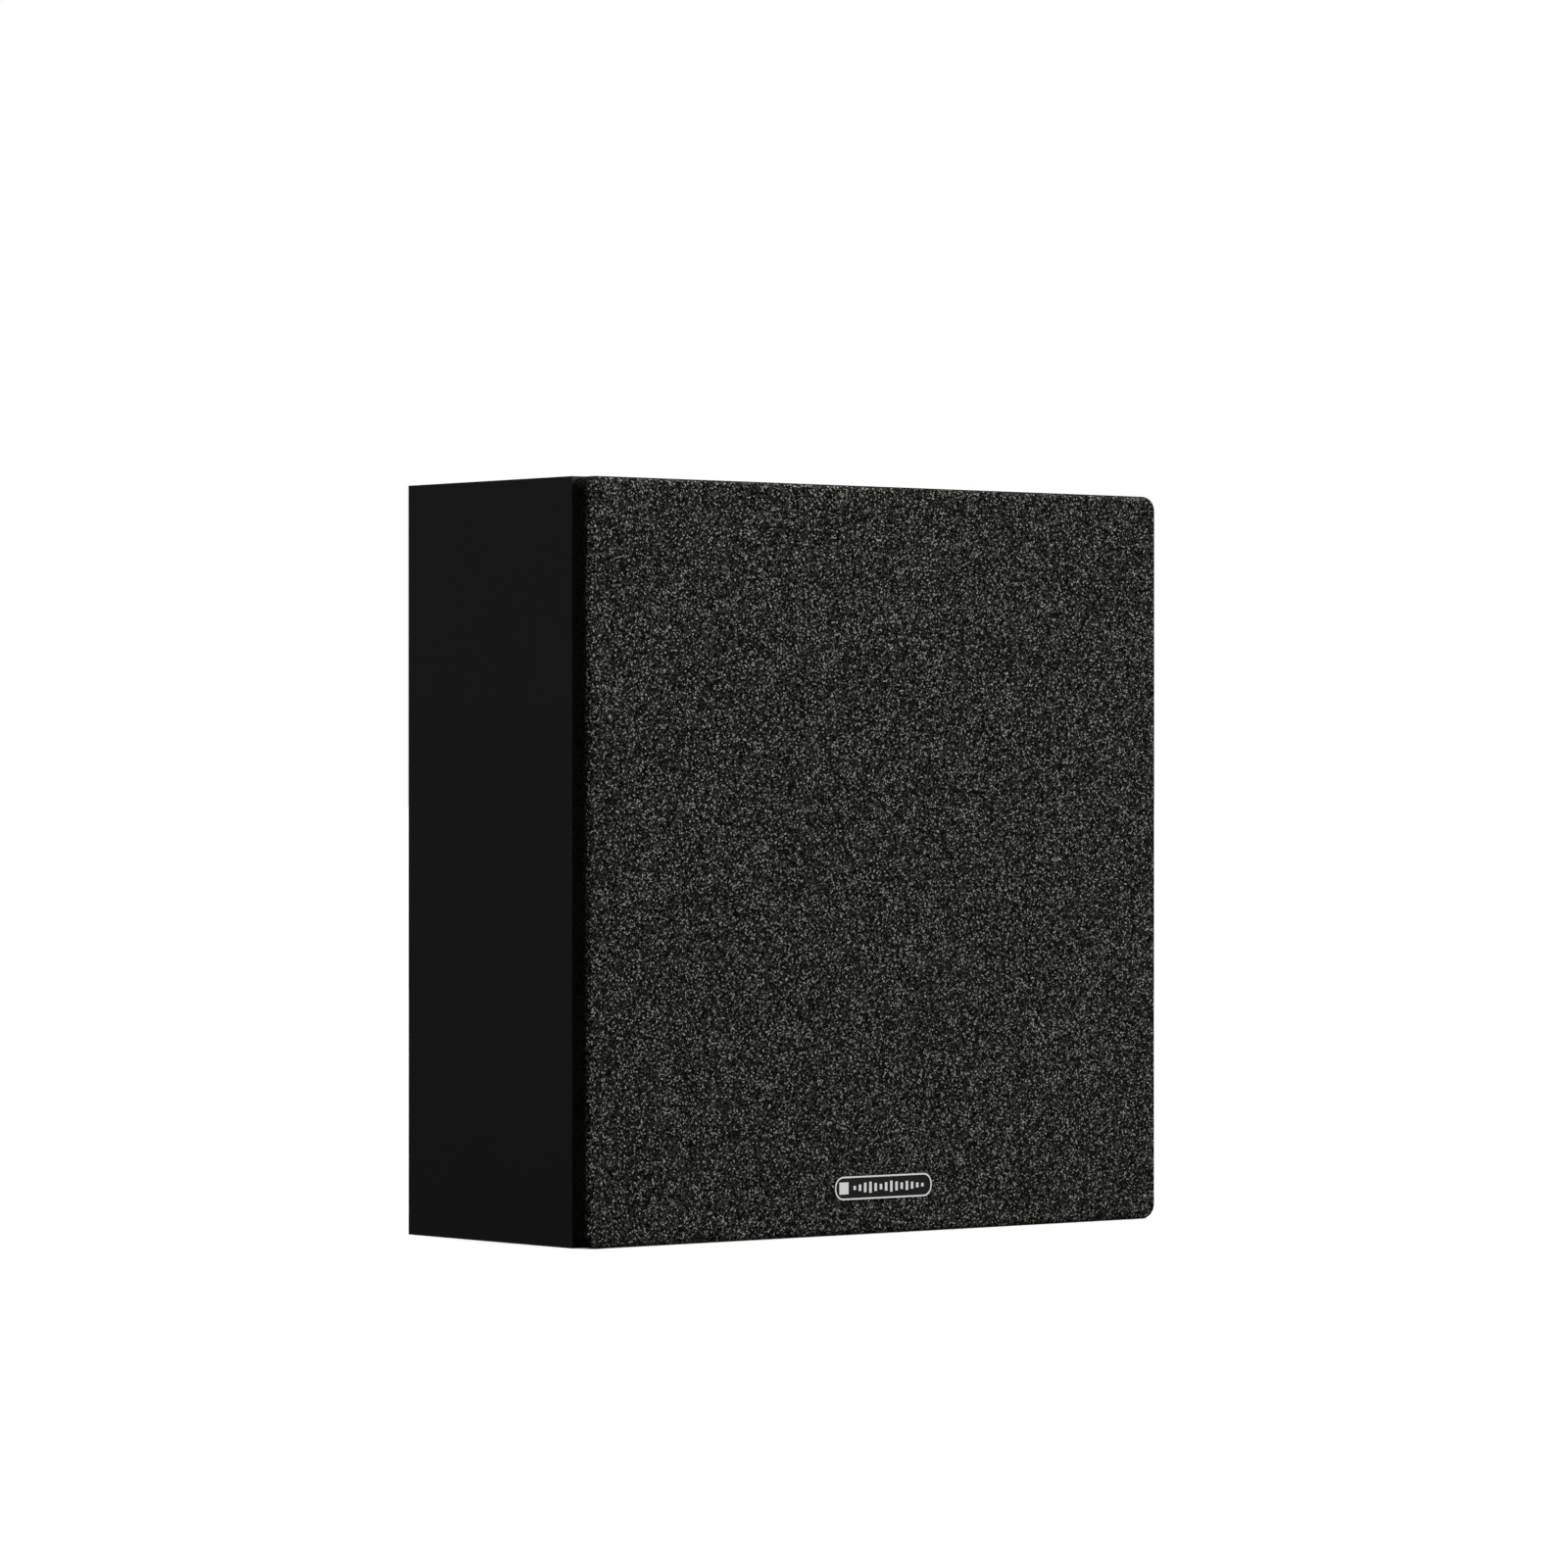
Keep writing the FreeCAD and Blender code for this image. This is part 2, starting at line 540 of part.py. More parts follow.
def make_basket():
    """The woofer's pressed frame: flange, skirt, sloping legs, spider ledge and motor seat."""
    body = turned("woofer_basket", [
        ("front_plane", "flange_radius"), ("front_plane", "step_radius"), ("roll_plane", "step_radius"),
        ("roll_plane", "basket_bore"), ("flange_back + basket_skirt", "basket_bore"),
        ("ledge_plane", "spider_outer + fit_gap"), ("ledge_plane", "ledge_radius - basket_wall"),
        ("basket_end - basket_wall", "plate_radius"), ("basket_end - basket_wall", "basket_hole"),
        ("basket_end", "basket_hole"), ("basket_end", "plate_radius + basket_wall"),
        ("strip_seat", "ledge_radius"), ("strip_seat", "spider_outer + fit_gap + basket_wall"),
        ("flange_back + basket_skirt + basket_wall", "basket_bore + basket_wall"),
        ("flange_back", "basket_bore + basket_wall"), ("flange_back", "flange_radius"),
    ], z="woofer_height")
    window = facing_sketch(body, "flange_back + basket_skirt")
    inner, outer = "(spider_outer + 4 * basket_wall)", "(basket_bore - basket_wall)"
    trace(window, [(f"-{inner} * window_root", inner), (f"{inner} * window_root", inner),
                   (f"{outer} * window_tip", f"{outer} * window_crown"),
                   (f"-{outer} * window_tip", f"{outer} * window_crown")])
    opening = pocket(body, window, "basket_end - flange_back - basket_skirt")
    repeat_round(body, opening, "basket_windows")
    doc.recompute()
    holes = round_places(6, "woofer_screw_circle")
    drill(body, holes, "driver_shank + fit_gap / 2", "front_plane", "flange_thickness")
    drill(body, holes, "driver_head + fit_gap / 2", "front_plane", "driver_head_depth")


def make_woofer_soft_parts():
    """The rubber half-roll round the cone, the corrugated spider and the foam seal under the flange."""
    thick = "surround_thickness"
    turned("woofer_surround", [
        ("roll_plane", "roll_outer + surround_land"), ("roll_lip", "roll_outer + surround_land"),
        ("roll_lip", "roll_outer", (0, "roll_lip", 1)), ("roll_lip", "roll_inner"),
        ("roll_lip", "cone_rim_radius - cone_land"), ("roll_plane", "cone_rim_radius - cone_land"),
        ("roll_plane", f"roll_inner + {thick}"), ("roll_lip", f"roll_inner + {thick}", (0, "roll_lip", -1)),
        ("roll_lip", f"roll_outer - {thick}"), ("roll_plane", f"roll_outer - {thick}"),
    ], z="woofer_height")

    half_waves = 7
    start, stop = "(former_radius + spider_neck)", "(spider_outer - spider_land - spider_flat)"
    wavy = []
    for number in range(half_waves + 1):
        swing = 0 if number in (0, half_waves) else (-1) ** number
        radius = f"{start} + ({stop} - {start}) * {number} / {half_waves}"
        wavy.append((f"spider_plane + {swing} * spider_wave", radius))
    middle = [("spider_plane", "former_radius")] + wavy + [("spider_plane", "spider_outer")]
    front = [(f"{depth} - spider_thickness / 2", radius) for depth, radius in middle]
    back = [(f"{depth} + spider_thickness / 2", radius) for depth, radius in reversed(middle)]
    turned("woofer_spider", front + back, z="woofer_height")

    seal = tube("woofer_gasket", "flange_back", "flange_back + seal_thickness", "woofer_cutout",
                "flange_radius", z="woofer_height")
    drill(seal, round_places(6, "woofer_screw_circle"), "driver_shank", "flange_back", "seal_thickness")


def make_woofer_cone():
    """The moving part: the cone, its dust cap, and the coil on its former."""
    rim = "cone_rim_radius - cone_land"
    turned("woofer_cone", [
        ("roll_plane", "cone_rim_radius"), ("roll_plane", rim), ("cone_neck", "former_radius"),
        ("cone_neck + cone_thickness", "former_radius"), ("roll_plane + cone_thickness", rim),
        ("roll_plane + cone_thickness", "cone_rim_radius"),
    ], z="woofer_height")
    apex = f"{cone_front('cap_radius')} - cap_rise"
    turned("woofer_dust_cap", [
        (cone_front("cap_radius"), "cap_radius", (1, "0", 1)), (apex, "0"),
        (f"{apex} + cap_thickness", "0", (1, "0", -1)),
        (cone_front("(cap_radius - cap_thickness)"), "cap_radius - cap_thickness"),
    ], z="woofer_height")
    tube("woofer_coil_former", "cone_neck - former_nose", "coil_front + coil_length + former_tail",
         "former_radius - former_thickness", "former_radius", z="woofer_height")
    tube("woofer_voice_coil", "coil_front", "coil_front + coil_length", "former_radius", "coil_radius",
         z="woofer_height")


def make_woofer_motor():
    """Top plate, ring magnet, and a yoke whose pole stands in the coil."""
    pole = "former_radius - former_thickness - pole_clearance"
    tube("woofer_top_plate", "basket_end", "plate_back", "coil_radius + coil_clearance", "plate_radius",
         z="woofer_height")
    tube("woofer_magnet", "plate_back", "magnet_back", "magnet_inner", "magnet_outer", z="woofer_height")
    turned("woofer_yoke", [
        ("basket_end", "yoke_vent"), ("basket_end", pole), ("magnet_back", pole),
        ("magnet_back", "yoke_radius"), ("yoke_back", "yoke_radius"), ("yoke_back", "yoke_vent"),
    ], z="woofer_height")


def make_woofer_fixings():
    """Six screws through the flange, and the tag strip behind the top of the spider ledge."""
    screws = new_body("woofer_screws")
    studs(screws, WOOFER_SCREWS, "driver_shank", "front_plane + driver_head_depth", "driver_screw")
    studs(screws, WOOFER_SCREWS, "driver_head", "front_plane + head_sink", "driver_head_depth - head_sink")
    tags = board("woofer_terminals", "-strip_width / 2", "strip_foot", "strip_width / 2", "strip_top",
                 "strip_seat", "strip_thickness")
    for side in (-1, 1):
        tag = facing_sketch(tags, "strip_back + tag_thickness")
        box_outline(tag, f"{side} * tag_spacing / 2 - tag_width / 2", "strip_top - tag_lap",
                    f"{side} * tag_spacing / 2 + tag_width / 2", "woofer_tag_end")
        pad(tags, tag, "tag_thickness")


# ---------------------------------------------------------------- tweeter

def make_tweeter_front():
    """The faceplate with its shallow flare, and the domed guard with rings of holes."""
    plate = turned("tweeter_faceplate", [
        ("front_plane", "guide_mouth"), ("front_plane", "faceplate_radius"),
        ("dome_plane", "faceplate_radius"), ("dome_plane", "guide_throat"),
        ("front_plane + guide_depth", "guide_throat"),
    ], z="tweeter_height")
    holes = round_places(4, "tweeter_screw_circle", start=45)
    drill(plate, holes, "driver_shank + fit_gap / 2", "front_plane", "faceplate_thickness")
    drill(plate, holes, "driver_head + fit_gap / 2", "front_plane", "driver_head_depth")

    apex = "guard_plane - guard_rise"
    guard = turned("tweeter_guard", [
        ("guard_plane", "guard_radius", (1, "0", 1)), (apex, "0"),
        (f"{apex} + guard_thickness", "0", (1, "0", -1)),
        ("guard_plane", "guard_radius - guard_thickness"),
    ], z="tweeter_height")
    drill(guard, [("0", "0")], "guard_hole", apex, "guard_rise")
    for ring in (1, 2, 3):
        sketch = facing_sketch(guard, apex)
        circle(sketch, f"guard_ring * {ring}", "0", "guard_hole")
        hole = pocket(guard, sketch, "guard_rise")
        repeat_round(guard, hole, f"{6 * ring}")


def make_tweeter_moving():
    """The dome, its coil, and the soft roll that carries them."""
    thin, wall = "soft_thickness", "dome_thickness"
    outer = "dome_radius + soft_roll"
    back = "dome_plane + soft_land"
    turned("tweeter_dome", [
        ("dome_plane", "dome_radius", (1, "0", 1)), ("dome_plane - dome_rise", "0"),
        (f"dome_plane - dome_rise + {wall}", "0", (1, "0", -1)), ("dome_plane", f"dome_radius - {wall}"),
    ], z="tweeter_height")
    tube("tweeter_voice_coil", "dome_plane", "dome_plane + tweeter_coil_length",
         "dome_radius - tweeter_coil_wall", "dome_radius", z="tweeter_height")
    turned("tweeter_surround", [
        (back, f"{outer} + soft_edge"), ("dome_plane", f"{outer} + soft_edge"),
        ("dome_plane", outer, (0, "dome_plane", 1)), ("dome_plane", "dome_radius"),
        (back, "dome_radius"), (back, f"dome_radius + {thin}"),
        ("dome_plane", f"dome_radius + {thin}", (0, "dome_plane", -1)), ("dome_plane", f"{outer} - {thin}"),
        (back, f"{outer} - {thin}"),
    ], z="tweeter_height")


def make_tweeter_motor():
    """Top plate, magnet, yoke and the closed chamber behind them, with the tag strip on the chamber."""
    pole = "dome_radius - tweeter_coil_wall - tweeter_gap"
    tube("tweeter_top_plate", "tweeter_plate_front", "tweeter_magnet_front", "dome_radius + tweeter_gap",
         "tweeter_plate_radius", z="tweeter_height")
    tube("tweeter_magnet", "tweeter_magnet_front", "tweeter_yoke_front", "tweeter_magnet_bore",
         "tweeter_magnet_radius", z="tweeter_height")
    turned("tweeter_yoke", [
        ("tweeter_plate_front", "0"), ("tweeter_plate_front", pole), ("tweeter_yoke_front", pole),
        ("tweeter_yoke_front", "tweeter_plate_radius"), ("chamber_front", "tweeter_plate_radius"),
        ("chamber_front", "0"),
    ], z="tweeter_height")
    turned("tweeter_rear_chamber", [
        ("chamber_front", "chamber_radius - chamber_wall"), ("chamber_front", "chamber_radius"),
        ("chamber_back", "chamber_radius"), ("chamber_back", "0"), ("chamber_back - chamber_wall", "0"),
        ("chamber_back - chamber_wall", "chamber_radius - chamber_wall"),
    ], z="tweeter_height")
    tags = new_body("tweeter_terminals")
    for side in (-1, 1):
        middle = f"{side} * tweeter_tag"
        tag = facing_sketch(tags, "chamber_front + tweeter_tag_length")
        box_outline(tag, f"{middle} - tag_thickness / 2", "tweeter_height - tag_width / 2",
                    f"{middle} + tag_thickness / 2", "tweeter_height + tag_width / 2")
        pad(tags, tag, "tweeter_tag_length")
        foot = facing_sketch(tags, "chamber_front + tag_foot")
        box_outline(foot, f"{middle} - tag_foot_width / 2", "tweeter_height - tag_foot_height / 2",
                    f"{middle} + tag_foot_width / 2", "tweeter_height + tag_foot_height / 2")
        pad(tags, foot, "tag_foot")
    screws = new_body("tweeter_screws")
    studs(screws, TWEETER_SCREWS, "driver_shank", "front_plane + driver_head_depth", "driver_screw")
    studs(screws, TWEETER_SCREWS, "driver_head", "front_plane + head_sink", "driver_head_depth - head_sink")


# ---------------------------------------------------------------- terminal cup and binding posts

POST_PLACES = {"red": "-post_spacing / 2", "black": "post_spacing / 2"}


def make_terminal_cup():
    """The moulded cup in the back, with its seal and screws. Its flange lies flush with the back."""
    flange_front = "back_plane - cup_flange"
    body = board("terminal_cup", "-cup_flange_width / 2", "cup_height - cup_flange_height / 2",
                 "cup_flange_width / 2", "cup_height + cup_flange_height / 2", flange_front, "cup_flange")
    round_edges(body, is_along_y, "cup_corner")
    shell = facing_sketch(body, flange_front)
    box_outline(shell, "-cup_width / 2 - cup_wall", "cup_height - cup_opening / 2 - cup_wall",
                "cup_width / 2 + cup_wall", "cup_height + cup_opening / 2 + cup_wall")
    pad(body, shell, f"{flange_front} - cup_bottom")
    hollow = facing_sketch(body, "cup_floor")
    box_outline(hollow, "-cup_width / 2", "cup_height - cup_opening / 2", "cup_width / 2",
                "cup_height + cup_opening / 2")
    pocket(body, hollow, "cup_depth")
    posts = [(x, "cup_height") for x in POST_PLACES.values()]
    drill(body, posts, "post_radius", "cup_bottom", "cup_wall")
    drill(body, CUP_SCREWS, "small_shank", flange_front, "cup_flange")
    drill(body, CUP_SCREWS, "small_head", "back_plane - small_head_depth", "small_head_depth")

    seal = board("terminal_gasket", "-cup_flange_width / 2", "cup_height - cup_flange_height / 2",
                 "cup_flange_width / 2", "cup_height + cup_flange_height / 2", f"{flange_front} - cup_seal",
                 "cup_seal")
    round_edges(seal, is_along_y, "cup_corner")
    middle = facing_sketch(seal, f"{flange_front} - cup_seal")
    box_outline(middle, "-cup_width / 2 - cup_wall", "cup_height - cup_opening / 2 - cup_wall",
                "cup_width / 2 + cup_wall", "cup_height + cup_opening / 2 + cup_wall")
    pocket(seal, middle, "cup_seal")
    drill(seal, CUP_SCREWS, "small_shank", f"{flange_front} - cup_seal", "cup_seal")

    screws = new_body("terminal_screws")
    studs(screws, CUP_SCREWS, "small_shank", "screw_tip", "back_plane - small_head_depth - screw_tip")
    studs(screws, CUP_SCREWS, "small_head", "back_plane - small_head_depth", "small_head_depth")


def make_binding_post(colour):
    """A post through the cup's floor: collar, stud with a socket in its end, loose washer and cap."""
    x = POST_PLACES[colour]
    socket = "post_end - post_bore_depth"
    turned(f"binding_post_{colour}", [
        ("post_start", "0"), ("post_start", "post_radius"), ("cup_floor", "post_radius"),
        ("cup_floor", "collar_radius"), ("collar_back", "collar_radius"), ("collar_back", "post_radius"),
        ("post_end", "post_radius"), ("post_end", "post_bore"), (socket, "post_bore"), (socket, "0"),
    ], x=x, z="cup_height")
    tube(f"binding_washer_{colour}", "washer_front", "washer_front + washer_thickness",
         "post_radius + thread_clearance", "washer_radius", x=x, z="cup_height")
    cap = tube(f"binding_cap_{colour}", "cap_front", "cap_front + binding_cap_length",
               "post_radius + thread_clearance", "binding_cap_radius", x=x, z="cup_height")
    groove = facing_sketch(cap, "cap_front + knurl_land")
    circle(groove, "binding_cap_radius + knurl_depth", "0", "2 * knurl_depth")
    flute = pocket(cap, groove, "binding_cap_length - 2 * knurl_land")
    repeat_round(cap, flute, "knurls")


def make_binding_nuts():
    """One hexagon nut behind the cup's floor on each post."""
    body = new_body("binding_nuts")
    for x in POST_PLACES.values():
        sketch = facing_sketch(body, "cup_bottom")
        corner = "nut_width / sqrt(3)"
        places = [(f"{x} + {corner} * cos({angle})", f"cup_height + {corner} * sin({angle})")
                  for angle in range(0, 360, 60)]
        trace(sketch, places)
        pad(body, sketch, "nut_thickness")
    drill(body, [(x, "cup_height") for x in POST_PLACES.values()], "post_radius",
          "cup_bottom - nut_thickness", "nut_thickness")


def make_hangers():
    """A steel keyhole plate on each side, flush with the back, and their screws."""
    plates = new_body("keyhole_plates")
    outline = facing_sketch(plates, "back_plane")
    for x, z in HANGERS:
        box_outline(outline, f"{x} - hanger_width / 2", f"{z} - hanger_length / 2",
                    f"{x} + hanger_width / 2", f"{z} + hanger_length / 2")
    pad(plates, outline, "hanger_thickness")
    round_edges(plates, is_along_y, "hanger_eye")
    front = "back_plane - hanger_thickness"
    drill(plates, [(x, f"{z} - hanger_drop / 2") for x, z in HANGERS], "hanger_eye", front,
          "hanger_thickness")
    slots = facing_sketch(plates, front)
    for x, z in HANGERS:
        box_outline(slots, f"{x} - hanger_slot", f"{z} - hanger_drop / 2", f"{x} + hanger_slot",
                    f"{z} + hanger_drop / 2")
    pocket(plates, slots, "hanger_thickness")
    drill(plates, [(x, f"{z} + hanger_drop / 2") for x, z in HANGERS], "hanger_slot", front,
          "hanger_thickness")
    drill(plates, HANGER_SCREWS, "small_shank", front, "hanger_thickness")
    head_front = "back_plane - hanger_head_depth"
    drill(plates, HANGER_SCREWS, "small_head", head_front, "hanger_head_depth")
    screws = new_body("keyhole_screws")
    studs(screws, HANGER_SCREWS, "small_shank", "screw_tip", f"{head_front} - screw_tip")
    studs(screws, HANGER_SCREWS, "small_head", head_front, "hanger_head_depth")


# ---------------------------------------------------------------- crossover and leads

# Each capacitor's x, its height from the board's middle, its radius and its length.
CAPACITORS = [(-34, 18, 8, 34), (16, 20, 7, 30), (-10, -26, 6, 26)]
# Each resistor's x and its height from the board's middle.
RESISTORS = [(-8, -6), (8, -6)]


def make_crossover():
    """The filter board on four standoffs behind the woofer, with its parts facing forwards."""
    half_width, half_height = "board_width / 2", "board_height / 2"
    body = board("crossover_board", f"-{half_width}", f"board_middle - {half_height}", half_width,
                 f"board_middle + {half_height}", "board_front", "board_thickness")
    drill(body, BOARD_SCREWS, "small_shank", "board_front", "board_thickness")
    posts = new_body("crossover_standoffs")
    studs(posts, BOARD_SCREWS, "standoff_radius", "board_back", "standoff")
    drill(posts, BOARD_SCREWS, "small_shank", "board_back", "standoff")
    screws = new_body("crossover_screws")
    studs(screws, BOARD_SCREWS, "small_shank", "board_front", "board_thickness + standoff + board_grip")
    studs(screws, BOARD_SCREWS, "small_head", "board_front - small_head_depth", "small_head_depth")

    chokes = new_body("crossover_chokes")
    places = [("-48", "board_middle - 16"), ("48", "board_middle - 16")]
    studs(chokes, places, "choke_radius", "board_front - choke_length", "choke_length")
    drill(chokes, places, "choke_bore", "board_front - choke_length", "choke_length")

    cans = new_body("crossover_capacitors")
    for x, z, radius, length in CAPACITORS:
        sketch = new_sketch(cans, "YZ_Plane", f"{x} - {length} / 2")
        circle(sketch, f"board_front - {radius}", f"board_middle + {z}", f"{radius}")
        pad(cans, sketch, f"{length}")

    resistors = new_body("crossover_resistors")
    for x, z in RESISTORS:
        sketch = facing_sketch(resistors, "board_front")
        middle = f"board_middle + {z}"
        box_outline(sketch, f"{x} - resistor_width / 2", f"{middle} - resistor_height / 2",
                    f"{x} + resistor_width / 2", f"{middle} + resistor_height / 2")
        pad(resistors, sketch, "resistor_depth")


def lead_path(points):
    """Straight runs joined by arcs that take 0.45 of the shorter run at each corner."""
    edges = []
    here = points[0]
    for before, corner, after in zip(points, points[1:], points[2:]):
        reach = 0.45 * min((corner - before).Length, (after - corner).Length)
        back = (before - corner).normalize()
        ahead = (after - corner).normalize()
        start = corner + back * reach
        end = corner + ahead * reach
        middle = (back + ahead).normalize()
        half_turn = back.getAngle(ahead) / 2
        radius = reach * math.tan(half_turn)
        hub = corner + middle * (reach ** 2 + radius ** 2) ** 0.5
        edges.append(Part.LineSegment(here, start).toShape())
        edges.append(Part.Arc(start, hub - middle * radius, end).toShape())
        here = end
    edges.append(Part.LineSegment(here, points[-1]).toShape())
    return Part.Wire(edges)


def make_leads(label, starts_and_ends):
    """Insulated leads inside the box, each a round tube along its own path."""
    radius = value("lead_radius")
    tubes = []
    for points in starts_and_ends:
        path = lead_path([Vector(value(x), value(y), value(z)) for x, y, z in points])
        first = path.Edges[0]
        start = first.valueAt(first.FirstParameter)
        ring = Part.Wire(Part.makeCircle(radius, start, first.tangentAt(first.FirstParameter)))
        lead = path.makePipeShell([ring], True, True)
        expected = math.pi * radius ** 2 * path.Length
        if abs(lead.Volume / expected - 1) > 0.02:
            raise ValueError(f"{label}: a lead's volume is {lead.Volume:.0f}, not {expected:.0f}")
        tubes.append(lead)
    feature = doc.addObject("Part::Feature", label)
    feature.Label = label
    feature.Shape = Part.makeCompound(tubes)
    feature.Placement = FreeCAD.Placement(Vector(0, 0, 0), Rotation())
    subparts.append(feature)


def make_all_leads():
    """Leads from the posts to the board, and from the board to each driver."""
    board_side = "board_front - lead_radius - lead_gap"
    make_leads("input_leads", [[
        (x, "post_start - lead_gap", "cup_height"), (x, "post_start - 6", "cup_height"),
        (f"{x} * 1.5", "post_start - 6", "cup_height - 16"),
        (f"{x} * 2", "post_start - 3", "brace_height + 6"),
        (f"{x} * 2", "post_start + 3", "brace_height - 20"), (f"{x} * 2", board_side, "board_top + 22"),
        (f"{x} * 2", board_side, "board_top - 6"),
    ] for x in POST_PLACES.values()])
    tag_back = "strip_back + tag_thickness / 2"
    make_leads("woofer_leads", [[
        (f"{side} * tag_spacing / 2", tag_back, "woofer_tag_end + lead_gap"),
        (f"{side} * tag_spacing / 2", tag_back, "woofer_tag_end + 7"),
        (f"{side} * 16", "magnet_back - 4", "woofer_height + magnet_outer + 16"),
        (f"{side} * 36", "board_front - 9", "board_top + 22"),
        (f"{side} * 38", board_side, "board_top + 6"), (f"{side} * 38", board_side, "board_top - 6"),
    ] for side in (-1, 1)])
    beside_pad = "chamber_back + 3"
    make_leads("tweeter_leads", [[
        (f"{side} * tweeter_tag", "chamber_front + tweeter_tag_length + lead_gap", "tweeter_height"),
        (f"{side} * tweeter_tag", beside_pad, "tweeter_height"),
        (f"{side} * 46", beside_pad, "tweeter_height - 18"),
        (f"{side} * (side_bay + 11)", beside_pad, "brace_height + brace_thickness"),
        (f"{side} * (side_bay + 12)", "chamber_back + 8", "brace_height - 2 * brace_thickness"),
        (f"{side} * 62", "board_front - 14", "board_top + 22"),
        (f"{side} * 60", board_side, "board_top + 6"), (f"{side} * 60", board_side, "board_top - 3"),
    ] for side in (-1, 1)])


def check_document():
    """Stop if any object failed, any cut removed nothing, or any sub-part isn't a sound solid."""
    for item in doc.Objects:
        if "Invalid" in item.State or "Error" in item.State:
            raise ValueError(f"{item.Label} failed: {item.State}")
        if item.TypeId == "PartDesign::Pocket" and item.Shape.Volume > item.BaseFeature.Shape.Volume - 0.01:
            raise ValueError(f"{item.Label} cuts nothing")
    for part in subparts:
        shape = part.Shape
        if shape.isNull() or not shape.isValid() or not shape.Solids or shape.Volume <= 0:
            raise ValueError(f"{part.Label} is not a sound solid")


make_walls()
make_baffle()
make_rear_panel()
make_brace()
make_wadding()
make_grille()
make_basket()
make_woofer_soft_parts()
make_woofer_cone()
make_woofer_motor()
make_woofer_fixings()
make_tweeter_front()
make_tweeter_moving()
make_tweeter_motor()
make_terminal_cup()
for colour in POST_PLACES:
    make_binding_post(colour)
make_binding_nuts()
make_hangers()
make_crossover()
make_all_leads()
doc.recompute()
check_document()

os.makedirs("parts", exist_ok=True)
for part in subparts:
    part.Shape.exportStep(f"parts/{part.Label}.step")
print(len(subparts), "sub-parts written")
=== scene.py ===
import math
import random

import bmesh
import bpy
from mathutils import Matrix, Vector
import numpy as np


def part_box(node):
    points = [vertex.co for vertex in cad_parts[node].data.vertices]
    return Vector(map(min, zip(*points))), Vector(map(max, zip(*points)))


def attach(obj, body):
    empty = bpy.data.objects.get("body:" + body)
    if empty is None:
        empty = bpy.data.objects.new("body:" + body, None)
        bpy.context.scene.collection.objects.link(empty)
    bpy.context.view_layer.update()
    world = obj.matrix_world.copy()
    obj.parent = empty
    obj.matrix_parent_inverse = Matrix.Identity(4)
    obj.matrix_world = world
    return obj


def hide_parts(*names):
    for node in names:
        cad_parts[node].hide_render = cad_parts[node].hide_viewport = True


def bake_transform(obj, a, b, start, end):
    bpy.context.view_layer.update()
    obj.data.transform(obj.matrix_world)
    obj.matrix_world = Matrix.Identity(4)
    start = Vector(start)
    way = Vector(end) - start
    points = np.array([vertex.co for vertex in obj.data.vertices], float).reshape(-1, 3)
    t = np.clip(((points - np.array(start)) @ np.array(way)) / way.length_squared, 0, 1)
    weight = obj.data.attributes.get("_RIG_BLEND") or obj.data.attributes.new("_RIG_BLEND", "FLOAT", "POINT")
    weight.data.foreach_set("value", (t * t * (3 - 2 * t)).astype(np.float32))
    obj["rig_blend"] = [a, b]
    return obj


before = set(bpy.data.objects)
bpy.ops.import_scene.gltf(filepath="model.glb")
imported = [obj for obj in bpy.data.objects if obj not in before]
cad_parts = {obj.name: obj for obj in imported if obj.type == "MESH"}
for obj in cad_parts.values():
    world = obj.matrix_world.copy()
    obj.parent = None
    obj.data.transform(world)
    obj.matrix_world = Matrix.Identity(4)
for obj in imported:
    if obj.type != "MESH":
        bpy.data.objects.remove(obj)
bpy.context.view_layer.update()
MM = 0.001

# ---------------------------------------------------------------- cabinet walls
# Four fibre boards, folded round the box at mitres and wrapped in a satin black film with a fine
# pressed grain. The finish is laid on the boards from the frame.


def new_finish(name, colour, roughness, metallic=0.0, coat=0.0, specular=0.5):
    """A material with one shader, whose plain numbers sit on the shader's own sockets."""
    material = bpy.data.materials.new(name)
    material.use_nodes = True
    shader = material.node_tree.nodes["Principled BSDF"]
    shader.inputs["Base Color"].default_value = (*colour, 1)
    shader.inputs["Roughness"].default_value = roughness
    shader.inputs["Metallic"].default_value = metallic
    shader.inputs["Coat Weight"].default_value = coat
    shader.inputs["Specular IOR Level"].default_value = specular
    return material


def node(material, kind, **inputs):
    """A node whose unlinked inputs are given by name."""
    made = material.node_tree.nodes.new(kind)
    for name, value in inputs.items():
        made.inputs[name.replace("_", " ")].default_value = value
    return made


def join(material, source, output, target, socket):
    material.node_tree.links.new(source.outputs[output], target.inputs[socket])


def place(material):
    """Where a point is on the object, shared by all of a material's patterns."""
    found = [n for n in material.node_tree.nodes if n.type == "TEX_COORD"]
    return found[0] if found else node(material, "ShaderNodeTexCoord")


def noise(material, size, detail=2.0, roughness=0.5):
    """Soft noise with lumps of about the given size in metres."""
    made = node(material, "ShaderNodeTexNoise", Scale=1 / size, Detail=detail, Roughness=roughness)
    join(material, place(material), "Object", made, "Vector")
    return made


def cells(material, size):
    """Random cells about the given size across."""
    made = node(material, "ShaderNodeTexVoronoi", Scale=1 / size)
    join(material, place(material), "Object", made, "Vector")
    return made


def reckon(material, operation, source, output, by=None):
    """One step of arithmetic on a pattern's value."""
    made = material.node_tree.nodes.new("ShaderNodeMath")
    made.operation = operation
    join(material, source, output, made, 0)
    if by is not None:
        made.inputs[1].default_value = by
    return made


def ridges(material, source, output, pitch):
    """Even ridges along a length in metres, one per pitch."""
    turns = reckon(material, "MULTIPLY", source, output, 2 * math.pi / pitch)
    return reckon(material, "SINE", turns, "Value")


